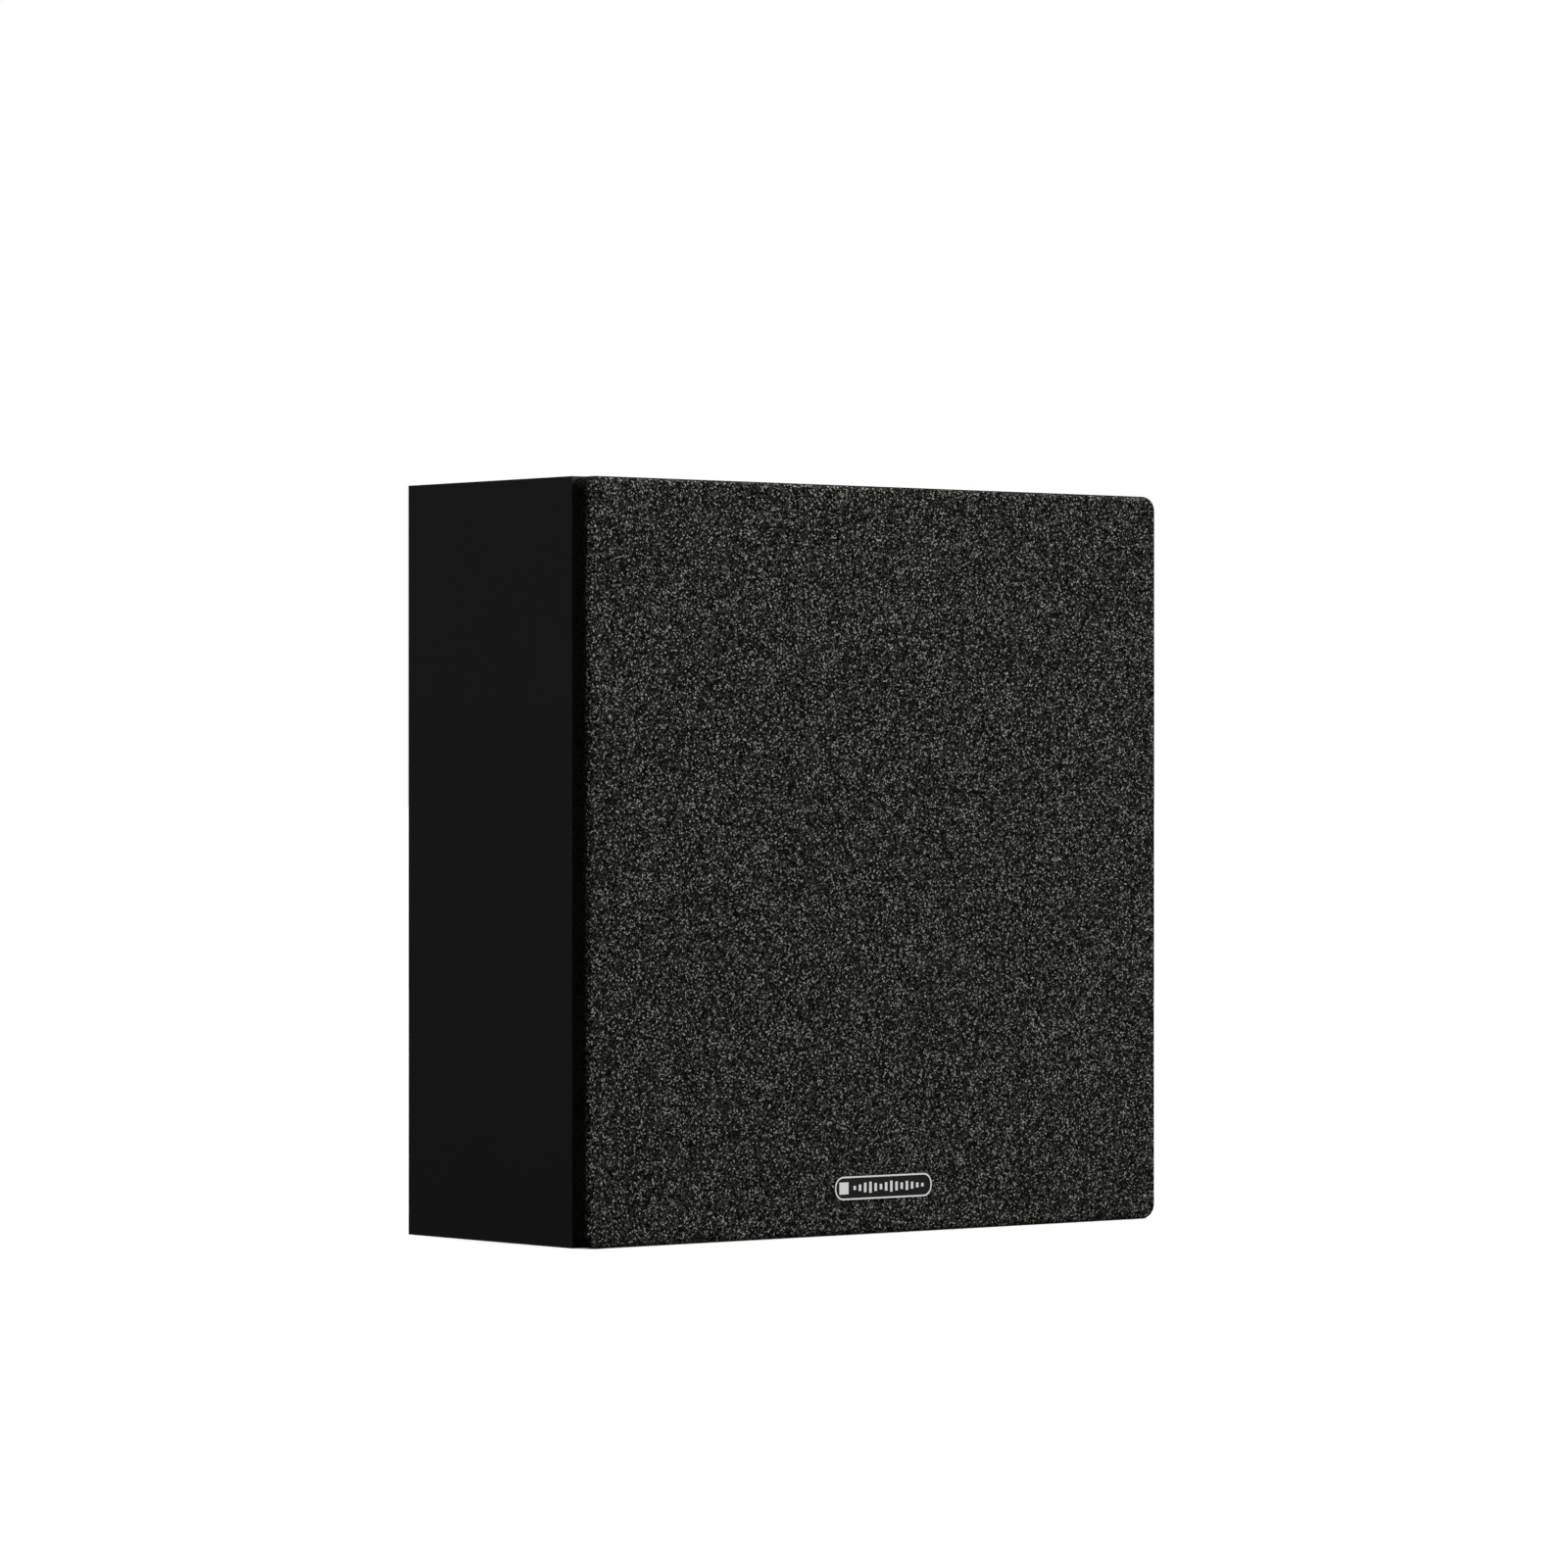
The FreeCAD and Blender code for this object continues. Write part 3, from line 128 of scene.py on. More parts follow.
def colour_by(material, source, output, stops):
    """The finish's colour follows a pattern; each stop is a place from 0 to 1 and a colour."""
    made = material.node_tree.nodes.new("ShaderNodeValToRGB")
    band = made.color_ramp.elements
    for extra in stops[2:]:
        band.new(extra[0])
    for element, (position, colour) in zip(band, sorted(stops)):
        element.position = position
        element.color = (*colour, 1)
    join(material, source, output, made, "Fac")
    join(material, made, "Color", material.node_tree.nodes["Principled BSDF"], "Base Color")


def roughness_by(material, source, output, low, high):
    """The finish's roughness runs from low to high with a pattern."""
    made = node(material, "ShaderNodeMapRange")
    made.inputs["To Min"].default_value = low
    made.inputs["To Max"].default_value = high
    join(material, source, output, made, "Value")
    join(material, made, "Result", material.node_tree.nodes["Principled BSDF"], "Roughness")


def raise_by(material, source, output, height, strength=1.0):
    """Small relief from a pattern, height in metres. A second call adds to the first."""
    shader = material.node_tree.nodes["Principled BSDF"]
    bump = node(material, "ShaderNodeBump", Strength=strength, Distance=height)
    if shader.inputs["Normal"].is_linked:
        join(material, shader.inputs["Normal"].links[0].from_node, "Normal", bump, "Normal")
    join(material, source, output, bump, "Height")
    join(material, bump, "Normal", shader, "Normal")


def dress(material, *nodes):
    """Puts a finish on parts of the frame."""
    for name in nodes:
        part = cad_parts[name]
        part.data.materials.clear()
        part.data.materials.append(material)


wrap = new_finish("wrap_satin_black", (0.005, 0.005, 0.005), 0.4, specular=0.4)
wrap_grain = noise(wrap, 0.35 * MM, detail=3)
raise_by(wrap, wrap_grain, "Fac", 0.02 * MM, 0.35)
wrap_cloud = noise(wrap, 40 * MM)
roughness_by(wrap, wrap_cloud, "Fac", 0.38, 0.48)
dress(wrap, "side_panel_left", "side_panel_right", "top_panel", "bottom_panel")

# ---------------------------------------------------------------- front and rear boards
# The baffle and the back board are fibre board under matt black paint, glued in between the walls.
# The paint has a faint orange peel.

board_paint = new_finish("board_matt_black", (0.008, 0.008, 0.0085), 0.6, specular=0.3)
raise_by(board_paint, noise(board_paint, 1.2 * MM, detail=2), "Fac", 0.05 * MM, 0.4)
roughness_by(board_paint, noise(board_paint, 15 * MM), "Fac", 0.52, 0.68)
dress(board_paint, "baffle", "rear_panel")

# ---------------------------------------------------------------- brace
# A raw fibre board glued across the box between the drivers, from the baffle to the back board.
# It is never painted.

raw_board = new_finish("raw_fibre_board", (0.3, 0.2, 0.12), 0.85)
raw_fibre = noise(raw_board, 0.8 * MM, detail=5, roughness=0.7)
colour_by(raw_board, raw_fibre, "Fac", [(0.3, (0.2, 0.13, 0.07)), (0.7, (0.42, 0.29, 0.18))])
raise_by(raw_board, raw_fibre, "Fac", 0.1 * MM, 0.5)
dress(raw_board, "cabinet_brace")

# ---------------------------------------------------------------- grille cloth
# Open-knit acoustic cloth in black with pale flecks, stretched over the front of the frame, turned
# round its edge and glued down behind it. Its side has painted shade, darker than its front, with
# fewer flecks.

GRILLE_CORNER = 6 * MM
GRILLE_EDGE = 3 * MM
CLOTH = 0.6 * MM
TURNOVER = 10 * MM
FLECK = 0.5 * MM
# Depths behind the cloth's front where the painted shade on its side begins and where it is full, and the
# share the flecks are dimmed to there.
SIDE_SHADE_BEGINS = 1.2 * MM
SIDE_SHADE_FULL = 3.2 * MM
SIDE_SHADE_LEVEL = 0.6
SAME_PLANE = 0.001 * MM


def to_object(name, mesh_bm, material, body, smooth=True):
    """Makes a piece of a bmesh: dressed, shaded, and riding on a body if one is given."""
    mesh = bpy.data.meshes.new(name)
    mesh_bm.to_mesh(mesh)
    mesh_bm.free()
    mesh.materials.append(material)
    for face in mesh.polygons:
        face.use_smooth = smooth
    piece = bpy.data.objects.new(name, mesh)
    bpy.context.scene.collection.objects.link(piece)
    if body:
        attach(piece, body)
    return piece


def add_block(bm, low, high):
    """Adds a box between two corners to a bmesh."""
    before = set(bm.verts)
    bmesh.ops.create_cube(bm, size=1)
    verts = [v for v in bm.verts if v not in before]
    bmesh.ops.scale(bm, verts=verts, vec=[b - a for a, b in zip(low, high)])
    bmesh.ops.translate(bm, verts=verts, vec=[(a + b) / 2 for a, b in zip(low, high)])


def block(low, high):
    """A bmesh with one box between two corners."""
    bm = bmesh.new()
    add_block(bm, low, high)
    return bm


def edges_along(bm, axis):
    """The edges that run along one axis."""
    found = []
    for edge in bm.edges:
        run = edge.verts[1].co - edge.verts[0].co
        if abs(run[axis]) > 0.999 * run.length:
            found.append(edge)
    return found


def round_off(bm, edges, radius, segments):
    bmesh.ops.bevel(bm, geom=edges, offset=radius, offset_type="OFFSET", segments=segments,
                    profile=0.5, affect="EDGES", material=-1, clamp_overlap=True)


def on_plane(item, depth):
    """Whether an edge or a face lies in the plane at a depth."""
    return all(abs(v.co.y - depth) < SAME_PLANE for v in item.verts)


def smooth_by_angle(piece, degrees):
    """Keeps the creases of a smooth-shaded piece that are sharper than the angle."""
    mesh = piece.data
    bm = bmesh.new()
    bm.from_mesh(mesh)
    limit = math.radians(degrees)
    for edge in bm.edges:
        edge.smooth = len(edge.link_faces) == 2 and edge.calc_face_angle(math.pi) < limit
    bm.to_mesh(mesh)
    bm.free()


cloth_low, cloth_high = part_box("grille_cloth")
cloth_bm = block(cloth_low, cloth_high)
round_off(cloth_bm, edges_along(cloth_bm, 1), GRILLE_CORNER, 10)
front_edges = [e for e in cloth_bm.edges if on_plane(e, cloth_low.y)]
round_off(cloth_bm, front_edges, GRILLE_EDGE, 6)
back_face = [f for f in cloth_bm.faces if on_plane(f, cloth_high.y)]
bmesh.ops.inset_region(cloth_bm, faces=back_face, thickness=TURNOVER, depth=0, use_even_offset=True)
inner_face = [f for f in cloth_bm.faces if len(f.verts) > 8 and on_plane(f, cloth_high.y)]
bmesh.ops.delete(cloth_bm, geom=inner_face, context="FACES")
bmesh.ops.recalc_face_normals(cloth_bm, faces=cloth_bm.faces)

cloth_finish = new_finish("grille_cloth_black_fleck", (0.03, 0.031, 0.027), 0.9, specular=0.04)
fleck = cells(cloth_finish, FLECK)
fleck_split = node(cloth_finish, "ShaderNodeSeparateColor")
join(cloth_finish, fleck, "Color", fleck_split, "Color")
across = node(cloth_finish, "ShaderNodeSeparateXYZ")
join(cloth_finish, place(cloth_finish), "Object", across, "Vector")
# Painted shade: behind the front edge the flecks fade to a dimmer share, standing in for the cloth's side
# lying out of the light.
painted_side_shade = node(cloth_finish, "ShaderNodeMapRange")
painted_side_shade.inputs["From Min"].default_value = cloth_low.y + SIDE_SHADE_FULL
painted_side_shade.inputs["From Max"].default_value = cloth_low.y + SIDE_SHADE_BEGINS
painted_side_shade.inputs["To Min"].default_value = SIDE_SHADE_LEVEL
join(cloth_finish, across, "Y", painted_side_shade, "Value")
fleck_with_side_shade = reckon(cloth_finish, "MULTIPLY", fleck_split, "Red")
join(cloth_finish, painted_side_shade, "Result", fleck_with_side_shade, 1)
colour_by(cloth_finish, fleck_with_side_shade, "Value", [
    (0.0, (0.0012, 0.0012, 0.001)),
    (0.4, (0.003, 0.003, 0.0024)),
    (0.68, (0.022, 0.0228, 0.0185)),
    (0.88, (0.08, 0.082, 0.07)),
    (1.0, (0.44, 0.445, 0.4)),
])
raise_by(cloth_finish, fleck, "Distance", 0.12 * MM, 0.6)

grille_cloth = to_object("grille_cloth_stretched", cloth_bm, cloth_finish, "grille")
smooth_by_angle(grille_cloth, 40)
thickness = grille_cloth.modifiers.new("thickness", "SOLIDIFY")
thickness.thickness = CLOTH
thickness.offset = -1
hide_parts("grille_cloth")

# ---------------------------------------------------------------- grille frame and magnets
# One injection moulding in black with a fine spark-eroded texture, open behind the cloth. Four
# nickel plated disc magnets pressed into it, and four more in the baffle, hold the grille on.

moulding = new_finish("moulding_black", (0.012, 0.012, 0.013), 0.55, specular=0.4)
raise_by(moulding, noise(moulding, 0.5 * MM, detail=4, roughness=0.6), "Fac", 0.05 * MM, 0.5)
roughness_by(moulding, noise(moulding, 8 * MM), "Fac", 0.48, 0.62)
dress(moulding, "grille_frame")

nickel = new_finish("nickel_plate", (0.62, 0.59, 0.54), 0.22, metallic=1)
nickel_haze = noise(nickel, 1.5 * MM, detail=4)
roughness_by(nickel, nickel_haze, "Fac", 0.14, 0.36)
raise_by(nickel, nickel_haze, "Fac", 0.01 * MM, 0.3)
dress(nickel, "grille_magnets", "baffle_magnets")

# ---------------------------------------------------------------- badge
# A thin black plate glued on the cloth, with a pale printed rim, a pale square and a row of plain
# bars like a level meter.

BADGE_CORNER = 4.3 * MM
BADGE_RIM = 0.65 * MM
BADGE_SINK = 0.12 * MM
BADGE_STEP = 0.05 * MM
BADGE_SQUARE = 4.8 * MM
SQUARE_MARGIN = 2.3 * MM
BARS_GAP = 2.6 * MM
INK_BELOW_RIM = 0.04 * MM
INK_ROOT = 0.02 * MM
BAR_WIDTH = 1.3 * MM
BAR_STEP = 2.75 * MM
BAR_HEIGHTS = (1.6, 2.6, 3.8, 4.4, 3.2, 2.2, 3.4, 4.4, 3.6, 2.6, 3.6, 2.8, 2.0, 1.4)

badge_low, badge_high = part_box("grille_badge")
badge_bm = block(badge_low, badge_high)
round_off(badge_bm, edges_along(badge_bm, 1), BADGE_CORNER, 6)
badge_face = [f for f in badge_bm.faces if f.normal.y < -0.9 and len(f.verts) > 8]
rim_faces = bmesh.ops.inset_region(badge_bm, faces=badge_face, thickness=BADGE_RIM, depth=0,
                                   use_even_offset=True)["faces"]
for face in rim_faces:
    face.material_index = 1
bmesh.ops.inset_region(badge_bm, faces=badge_face, thickness=BADGE_STEP, depth=-BADGE_SINK,
                       use_even_offset=True)

badge_black = new_finish("badge_black", (0.003, 0.003, 0.0035), 0.45, specular=0.2)
badge_print = new_finish("badge_pale_print", (0.86, 0.86, 0.84), 0.45)
for finish in (badge_black, badge_print):
    raise_by(finish, noise(finish, 0.4 * MM, detail=2), "Fac", 0.01 * MM, 0.3)
    roughness_by(finish, noise(finish, 5 * MM), "Fac", 0.28, 0.4)

badge = to_object("grille_badge_plate", badge_bm, badge_black, "grille", smooth=False)
badge.data.materials.append(badge_print)
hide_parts("grille_badge")

badge_middle = (badge_low + badge_high) / 2
ink_front = badge_low.y + INK_BELOW_RIM
ink_back = badge_low.y + BADGE_SINK + INK_ROOT
marks_bm = bmesh.new()
square_left = badge_low.x + SQUARE_MARGIN
add_block(marks_bm, (square_left, ink_front, badge_middle.z - BADGE_SQUARE / 2),
          (square_left + BADGE_SQUARE, ink_back, badge_middle.z + BADGE_SQUARE / 2))
bar_left = square_left + BADGE_SQUARE + BARS_GAP
for height in BAR_HEIGHTS:
    add_block(marks_bm, (bar_left, ink_front, badge_middle.z - height * MM / 2),
              (bar_left + BAR_WIDTH, ink_back, badge_middle.z + height * MM / 2))
    bar_left += BAR_STEP
marks = to_object("grille_badge_marks", marks_bm, badge_print, "grille", smooth=False)

# ---------------------------------------------------------------- woofer frame and seal
# A pressed steel basket under a black textured powder coat. It sits on a foam ring in the baffle,
# and the same foam seals the terminal cup.

powder = new_finish("powder_coat_black", (0.01, 0.01, 0.0105), 0.5, specular=0.45)
powder_grain = noise(powder, 0.45 * MM, detail=3)
raise_by(powder, powder_grain, "Fac", 0.05 * MM, 0.6)
roughness_by(powder, powder_grain, "Fac", 0.4, 0.6)
dress(powder, "woofer_basket")

foam = new_finish("foam_dark", (0.03, 0.03, 0.032), 0.95, specular=0.2)
foam_cell = cells(foam, 0.5 * MM)
colour_by(foam, foam_cell, "Distance", [(0.0, (0.008, 0.008, 0.009)), (0.6, (0.05, 0.05, 0.053))])
raise_by(foam, foam_cell, "Distance", 0.2 * MM, 0.8)
dress(foam, "woofer_gasket", "terminal_gasket")

# ---------------------------------------------------------------- woofer surround
# A half roll of butyl rubber glued to the cone's rim and to the basket. As the cone travels, its
# inner edge follows the cone, its outer edge stays, and the roll between them shares the travel.

WOOFER_ROUND = 160
ROLL_WIDTH = 9 * MM
ROLL_LAND = 6.4 * MM
ROLL_FOOT = 2.9 * MM
ROLL_STEPS = 24
ROLL_INSIDE_STEPS = 20
RUBBER = 0.9 * MM
RUBBER_EDGE = 0.2 * MM
SAME_POINT = 0.001 * MM


def arc(centre_radius, centre_depth, radius, start, end, count):
    """Points of an arc as (distance from the axis, depth). The angles are in degrees, and 90 is
    towards the front."""
    turns = [math.radians(start + (end - start) * step / count) for step in range(count + 1)]
    return [(centre_radius + radius * math.cos(turn), centre_depth - radius * math.sin(turn))
            for turn in turns]


def spun(outline, height, steps):
    """A closed outline of (radius, depth) turned round an axis along Y at the given height."""
    bm = bmesh.new()
    verts = [bm.verts.new((radius, depth, height)) for radius, depth in outline]
    edges = [bm.edges.new((a, b)) for a, b in zip(verts, verts[1:] + verts[:1])]
    bmesh.ops.spin(bm, geom=verts + edges, cent=(0, 0, height), axis=(0, 1, 0), angle=2 * math.pi,
                   steps=steps, use_merge=True, use_duplicate=False)
    bmesh.ops.remove_doubles(bm, verts=bm.verts, dist=SAME_POINT)
    bmesh.ops.recalc_face_normals(bm, faces=bm.faces)
    return bm


def share_travel(piece, moving, height, inner, outer):
    """Blends a ring between the moving part at its inner radius and the cabinet at its outer one.
    The blend is declared along a radius. Each point then gets its share by its distance from the
    axis."""
    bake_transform(piece, "cabinet", moving, start=(outer, 0, height), end=(inner, 0, height))
    shares = piece.data.attributes["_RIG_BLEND"].data
    for vertex, share in zip(piece.data.vertices, shares):
        radius = math.hypot(vertex.co.x, vertex.co.z - height)
        t = min(max((outer - radius) / (outer - inner), 0), 1)
        share.value = t * t * (3 - 2 * t)


def rings(material, height, pitch):
    """Rings round an axis along Y at the given height, one per pitch."""
    flat = node(material, "ShaderNodeMapping", Location=(0, 0, -height), Scale=(1, 0, 1))
    join(material, place(material), "Object", flat, "Vector")
    reach = material.node_tree.nodes.new("ShaderNodeVectorMath")
    reach.operation = "LENGTH"
    join(material, flat, "Vector", reach, 0)
    return ridges(material, reach, "Value", pitch)


surround_low, surround_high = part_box("woofer_surround")
woofer_height = (surround_low.z + surround_high.z) / 2
land_edge = (surround_high.x - surround_low.x) / 2
roll_edge = land_edge - ROLL_LAND
roll_middle = roll_edge - ROLL_WIDTH / 2
roll_inner = roll_edge - ROLL_WIDTH
roll_back = surround_high.y
roll_front = roll_back - RUBBER
surround_outline = (
    [(land_edge, roll_back), (land_edge, roll_front + RUBBER_EDGE),
     (land_edge - RUBBER_EDGE, roll_front)]
    + arc(roll_middle, roll_front, ROLL_WIDTH / 2, 0, 180, ROLL_STEPS)
    + [(roll_inner - ROLL_FOOT, roll_front), (roll_inner - ROLL_FOOT, roll_back),
       (roll_inner + RUBBER, roll_back)]
    + arc(roll_middle, roll_front, ROLL_WIDTH / 2 - RUBBER, 180, 0, ROLL_INSIDE_STEPS)
    + [(roll_edge - RUBBER, roll_back)]
)
rubber = new_finish("butyl_rubber", (0.012, 0.012, 0.0125), 0.42, specular=0.45)
rubber.node_tree.nodes["Principled BSDF"].inputs["Sheen Weight"].default_value = 0.08
rubber_skin = noise(rubber, 0.6 * MM, detail=4, roughness=0.6)
raise_by(rubber, rubber_skin, "Fac", 0.02 * MM, 0.4)
roughness_by(rubber, noise(rubber, 6 * MM), "Fac", 0.36, 0.52)
surround_bm = spun(surround_outline, woofer_height, WOOFER_ROUND)
surround = to_object("woofer_surround_roll", surround_bm, rubber, None)
smooth_by_angle(surround, 40)
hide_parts("woofer_surround")
share_travel(surround, "woofer_moving", woofer_height, roll_inner, roll_edge)

# ---------------------------------------------------------------- woofer cone and dust cap
# The cone is pressed pulp under a charcoal coating, with fine drawn rings. The cap is a smoother
# and darker dome glued on over the coil.

pulp = new_finish("coated_pulp", (0.04, 0.04, 0.042), 0.6, specular=0.45)
pulp_fibre = noise(pulp, 0.9 * MM, detail=5, roughness=0.7)
colour_by(pulp, pulp_fibre, "Fac", [(0.3, (0.03, 0.03, 0.032)), (0.75, (0.062, 0.062, 0.066))])
raise_by(pulp, pulp_fibre, "Fac", 0.12 * MM, 0.5)
raise_by(pulp, rings(pulp, woofer_height, 1.6 * MM), "Value", 0.03 * MM, 0.5)
dress(pulp, "woofer_cone")

cap_finish = new_finish("dust_cap_charcoal", (0.028, 0.028, 0.03), 0.38, specular=0.5)
raise_by(cap_finish, noise(cap_finish, 0.5 * MM, detail=4), "Fac", 0.03 * MM, 0.5)
roughness_by(cap_finish, noise(cap_finish, 6 * MM), "Fac", 0.34, 0.48)
dress(cap_finish, "woofer_dust_cap")

# ---------------------------------------------------------------- spider, coil and former
# The spider is a resin-stiffened cotton ring pressed in waves. It is glued to the former and to the
# basket's ledge. The former is polyimide film, and the coil is enamelled copper in two layers.

SPIDER_LAND = 4.5 * MM
SPIDER_NECK = 2.5 * MM
SPIDER_FLAT = 1.5 * MM
SPIDER_WAVE = 1.1 * MM
SPIDER_WAVES = 3.5
SPIDER_CLOTH = 0.5 * MM
WAVE_POINTS = 42
SPIDER_ROUND = 96

spider_low, spider_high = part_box("woofer_spider")
former_low, former_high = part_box("woofer_coil_former")
former_radius = (former_high.x - former_low.x) / 2
spider_edge = (spider_high.x - spider_low.x) / 2
spider_middle = (spider_low.y + spider_high.y) / 2
wave_start = former_radius + SPIDER_NECK
wave_end = spider_edge - SPIDER_LAND - SPIDER_FLAT


def spider_line(offset):
    """The spider's middle line from the former outwards, moved back by the offset."""
    line = [(former_radius, spider_middle + offset)]
    for step in range(WAVE_POINTS + 1):
        share = step / WAVE_POINTS
        swing = -SPIDER_WAVE * math.sin(2 * math.pi * SPIDER_WAVES * share)
        line.append((wave_start + (wave_end - wave_start) * share, spider_middle + offset + swing))
    return line + [(spider_edge, spider_middle + offset)]


spider_cotton = new_finish("spider_cotton", (0.42, 0.24, 0.09), 0.85, specular=0.3)
spider_yarn = cells(spider_cotton, 0.6 * MM)
colour_by(spider_cotton, spider_yarn, "Distance",
          [(0.0, (0.46, 0.27, 0.1)), (0.7, (0.22, 0.12, 0.04))])
raise_by(spider_cotton, spider_yarn, "Distance", 0.12 * MM, 0.8)
spider_outline = spider_line(-SPIDER_CLOTH / 2) + spider_line(SPIDER_CLOTH / 2)[::-1]
spider_bm = spun(spider_outline, woofer_height, SPIDER_ROUND)
spider = to_object("woofer_spider_waves", spider_bm, spider_cotton, None)
smooth_by_angle(spider, 50)
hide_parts("woofer_spider")
share_travel(spider, "woofer_moving", woofer_height, former_radius, spider_edge - SPIDER_LAND)

film = new_finish("polyimide_film", (0.35, 0.13, 0.02), 0.3, coat=0.4)
roughness_by(film, noise(film, 2 * MM), "Fac", 0.22, 0.4)
dress(film, "woofer_coil_former")


def winding(name, colour, pitch):
    """Enamelled wire wound along Y, one turn per pitch."""
    wire = new_finish(name, colour, 0.28, metallic=0.9, coat=0.3)
    split = node(wire, "ShaderNodeSeparateXYZ")
    join(wire, place(wire), "Object", split, "Vector")
    raise_by(wire, ridges(wire, split, "Y", pitch), "Value", 0.3 * pitch, 0.8)
    roughness_by(wire, noise(wire, 3 * MM), "Fac", 0.22, 0.38)
    return wire


coil_wire = winding("coil_wire", (0.55, 0.2, 0.07), 0.3 * MM)
dress(coil_wire, "woofer_voice_coil", "tweeter_voice_coil")

# ---------------------------------------------------------------- motors
# Zinc plated steel plates and yokes, turned and passivated. They are glued to sintered ferrite
# rings, one set for each driver.

zinc = new_finish("zinc_steel", (0.56, 0.57, 0.58), 0.36, metallic=1)
zinc_grain = noise(zinc, 2.5 * MM, detail=5, roughness=0.65)
colour_by(zinc, zinc_grain, "Fac", [(0.3, (0.46, 0.48, 0.5)), (0.7, (0.62, 0.61, 0.57))])
roughness_by(zinc, zinc_grain, "Fac", 0.28, 0.5)
dress(zinc, "woofer_top_plate", "woofer_yoke", "tweeter_top_plate", "tweeter_yoke")

ferrite = new_finish("sintered_ferrite", (0.035, 0.035, 0.038), 0.7)
ferrite_grain = noise(ferrite, 0.7 * MM, detail=4)
colour_by(ferrite, ferrite_grain, "Fac", [(0.3, (0.025, 0.025, 0.027)), (0.7, (0.05, 0.05, 0.054))])
raise_by(ferrite, ferrite_grain, "Fac", 0.05 * MM, 0.5)
dress(ferrite, "woofer_magnet", "tweeter_magnet")

# ---------------------------------------------------------------- tag strips
# The woofer's tags and the strip of pressed paper board that holds them are one node, finished as
# board. The tweeter's tags and the nuts behind the terminal cup are tinned brass.

tag_board = new_finish("tag_board", (0.2, 0.11, 0.05), 0.7)
tag_fibre = noise(tag_board, 0.8 * MM, detail=4)
colour_by(tag_board, tag_fibre, "Fac", [(0.3, (0.15, 0.08, 0.035)), (0.7, (0.28, 0.16, 0.075))])
raise_by(tag_board, tag_fibre, "Fac", 0.03 * MM, 0.5)
dress(tag_board, "woofer_terminals")

brass = new_finish("tinned_brass", (0.7, 0.58, 0.33), 0.3, metallic=1)
brass_tarnish = noise(brass, 1.8 * MM, detail=4)
colour_by(brass, brass_tarnish, "Fac", [(0.3, (0.6, 0.47, 0.24)), (0.7, (0.75, 0.66, 0.45))])
roughness_by(brass, brass_tarnish, "Fac", 0.2, 0.42)
dress(brass, "tweeter_terminals", "binding_nuts")

# ---------------------------------------------------------------- screws
# Black phosphated screws hold the drivers, and zinc plated ones the back and the crossover board.
# Each has a low round head with a cross recess, and a plain shank in its pilot hole.

SCREW_ROUND = 28
RECESS_ARM = 0.62
RECESS_WIDTH = 0.24
RECESS_RING = 0.78
RECESS_DEPTH = 0.75
RECESS_TAPER = 0.6
HEAD_SKIRT = 0.45
HEAD_CROWN = 0.82
HEAD_SHOULDER = 0.93
SHANK_TIP = 0.35
FIRST_TURN = 11
TURN_EACH = 37


def screw_mesh(head, rise, shank, length):
    """One screw whose head faces +Z and whose seat is at z = 0."""
    bm = bmesh.new()
    outline = [(0, -length), (shank * SHANK_TIP, -length), (shank, -length + 2 * shank), (shank, 0),
               (head, 0), (head, rise * HEAD_SKIRT), (head * HEAD_SHOULDER, rise * HEAD_CROWN),
               (head * RECESS_RING, rise)]
    verts = [bm.verts.new((radius, 0, z)) for radius, z in outline]
    edges = [bm.edges.new((a, b)) for a, b in zip(verts, verts[1:])]
    bmesh.ops.spin(bm, geom=verts + edges, cent=(0, 0, 0), axis=(0, 0, 1), angle=2 * math.pi,
                   steps=SCREW_ROUND, use_merge=True, use_duplicate=False)
    bmesh.ops.remove_doubles(bm, verts=bm.verts, dist=SAME_POINT)
    top = [e for e in bm.edges if len(e.link_faces) == 1]
    arm, half = head * RECESS_ARM, head * RECESS_WIDTH / 2
    corners = [(arm, half), (half, half), (half, arm)]
    cross = []
    for quarter in range(4):
        turn = Matrix.Rotation(quarter * math.pi / 2, 3, "Z")
        cross += [bm.verts.new(turn @ Vector((x, y, rise))) for x, y in corners]
    lip = [bm.edges.new((a, b)) for a, b in zip(cross, cross[1:] + cross[:1])]
    bmesh.ops.bridge_loops(bm, edges=top + lip)
    walls = bmesh.ops.extrude_edge_only(bm, edges=lip)["geom"]
    low_verts = [item for item in walls if isinstance(item, bmesh.types.BMVert)]
    bmesh.ops.translate(bm, verts=low_verts, vec=(0, 0, -rise * RECESS_DEPTH))
    bmesh.ops.scale(bm, verts=low_verts, vec=(RECESS_TAPER, RECESS_TAPER, 1))
    bmesh.ops.contextual_create(bm, geom=[e for e in bm.edges if len(e.link_faces) == 1])
    bmesh.ops.recalc_face_normals(bm, faces=bm.faces)
    mesh = bpy.data.meshes.new("screw_pattern")
    bm.to_mesh(mesh)
    bm.free()
    return mesh


def screws(name, cad_node, places, outward, head, rise, shank, finish):
    """All of one node's screws as one piece. Outward is -1 for heads that face forward, and 1 for
    heads that face back."""
    low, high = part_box(cad_node)
    length = high.y - low.y - rise
    seat = (low.y if outward < 0 else high.y) - outward * rise
    pattern = screw_mesh(head, rise, shank, length)
    bm = bmesh.new()
    for number, (x, z) in enumerate(places):
        before = set(bm.verts)
        bm.from_mesh(pattern)
        verts = [v for v in bm.verts if v not in before]
        tilt = Matrix.Rotation(math.radians(90 * -outward), 3, "X")
        spin = Matrix.Rotation(math.radians(TURN_EACH * number + FIRST_TURN), 3, "Z")
        bmesh.ops.rotate(bm, verts=verts, cent=(0, 0, 0), matrix=tilt @ spin)
        bmesh.ops.translate(bm, verts=verts, vec=(x, seat, z))
    bpy.data.meshes.remove(pattern)
    piece = to_object(name, bm, finish, "cabinet")
    smooth_by_angle(piece, 30)
    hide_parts(cad_node)


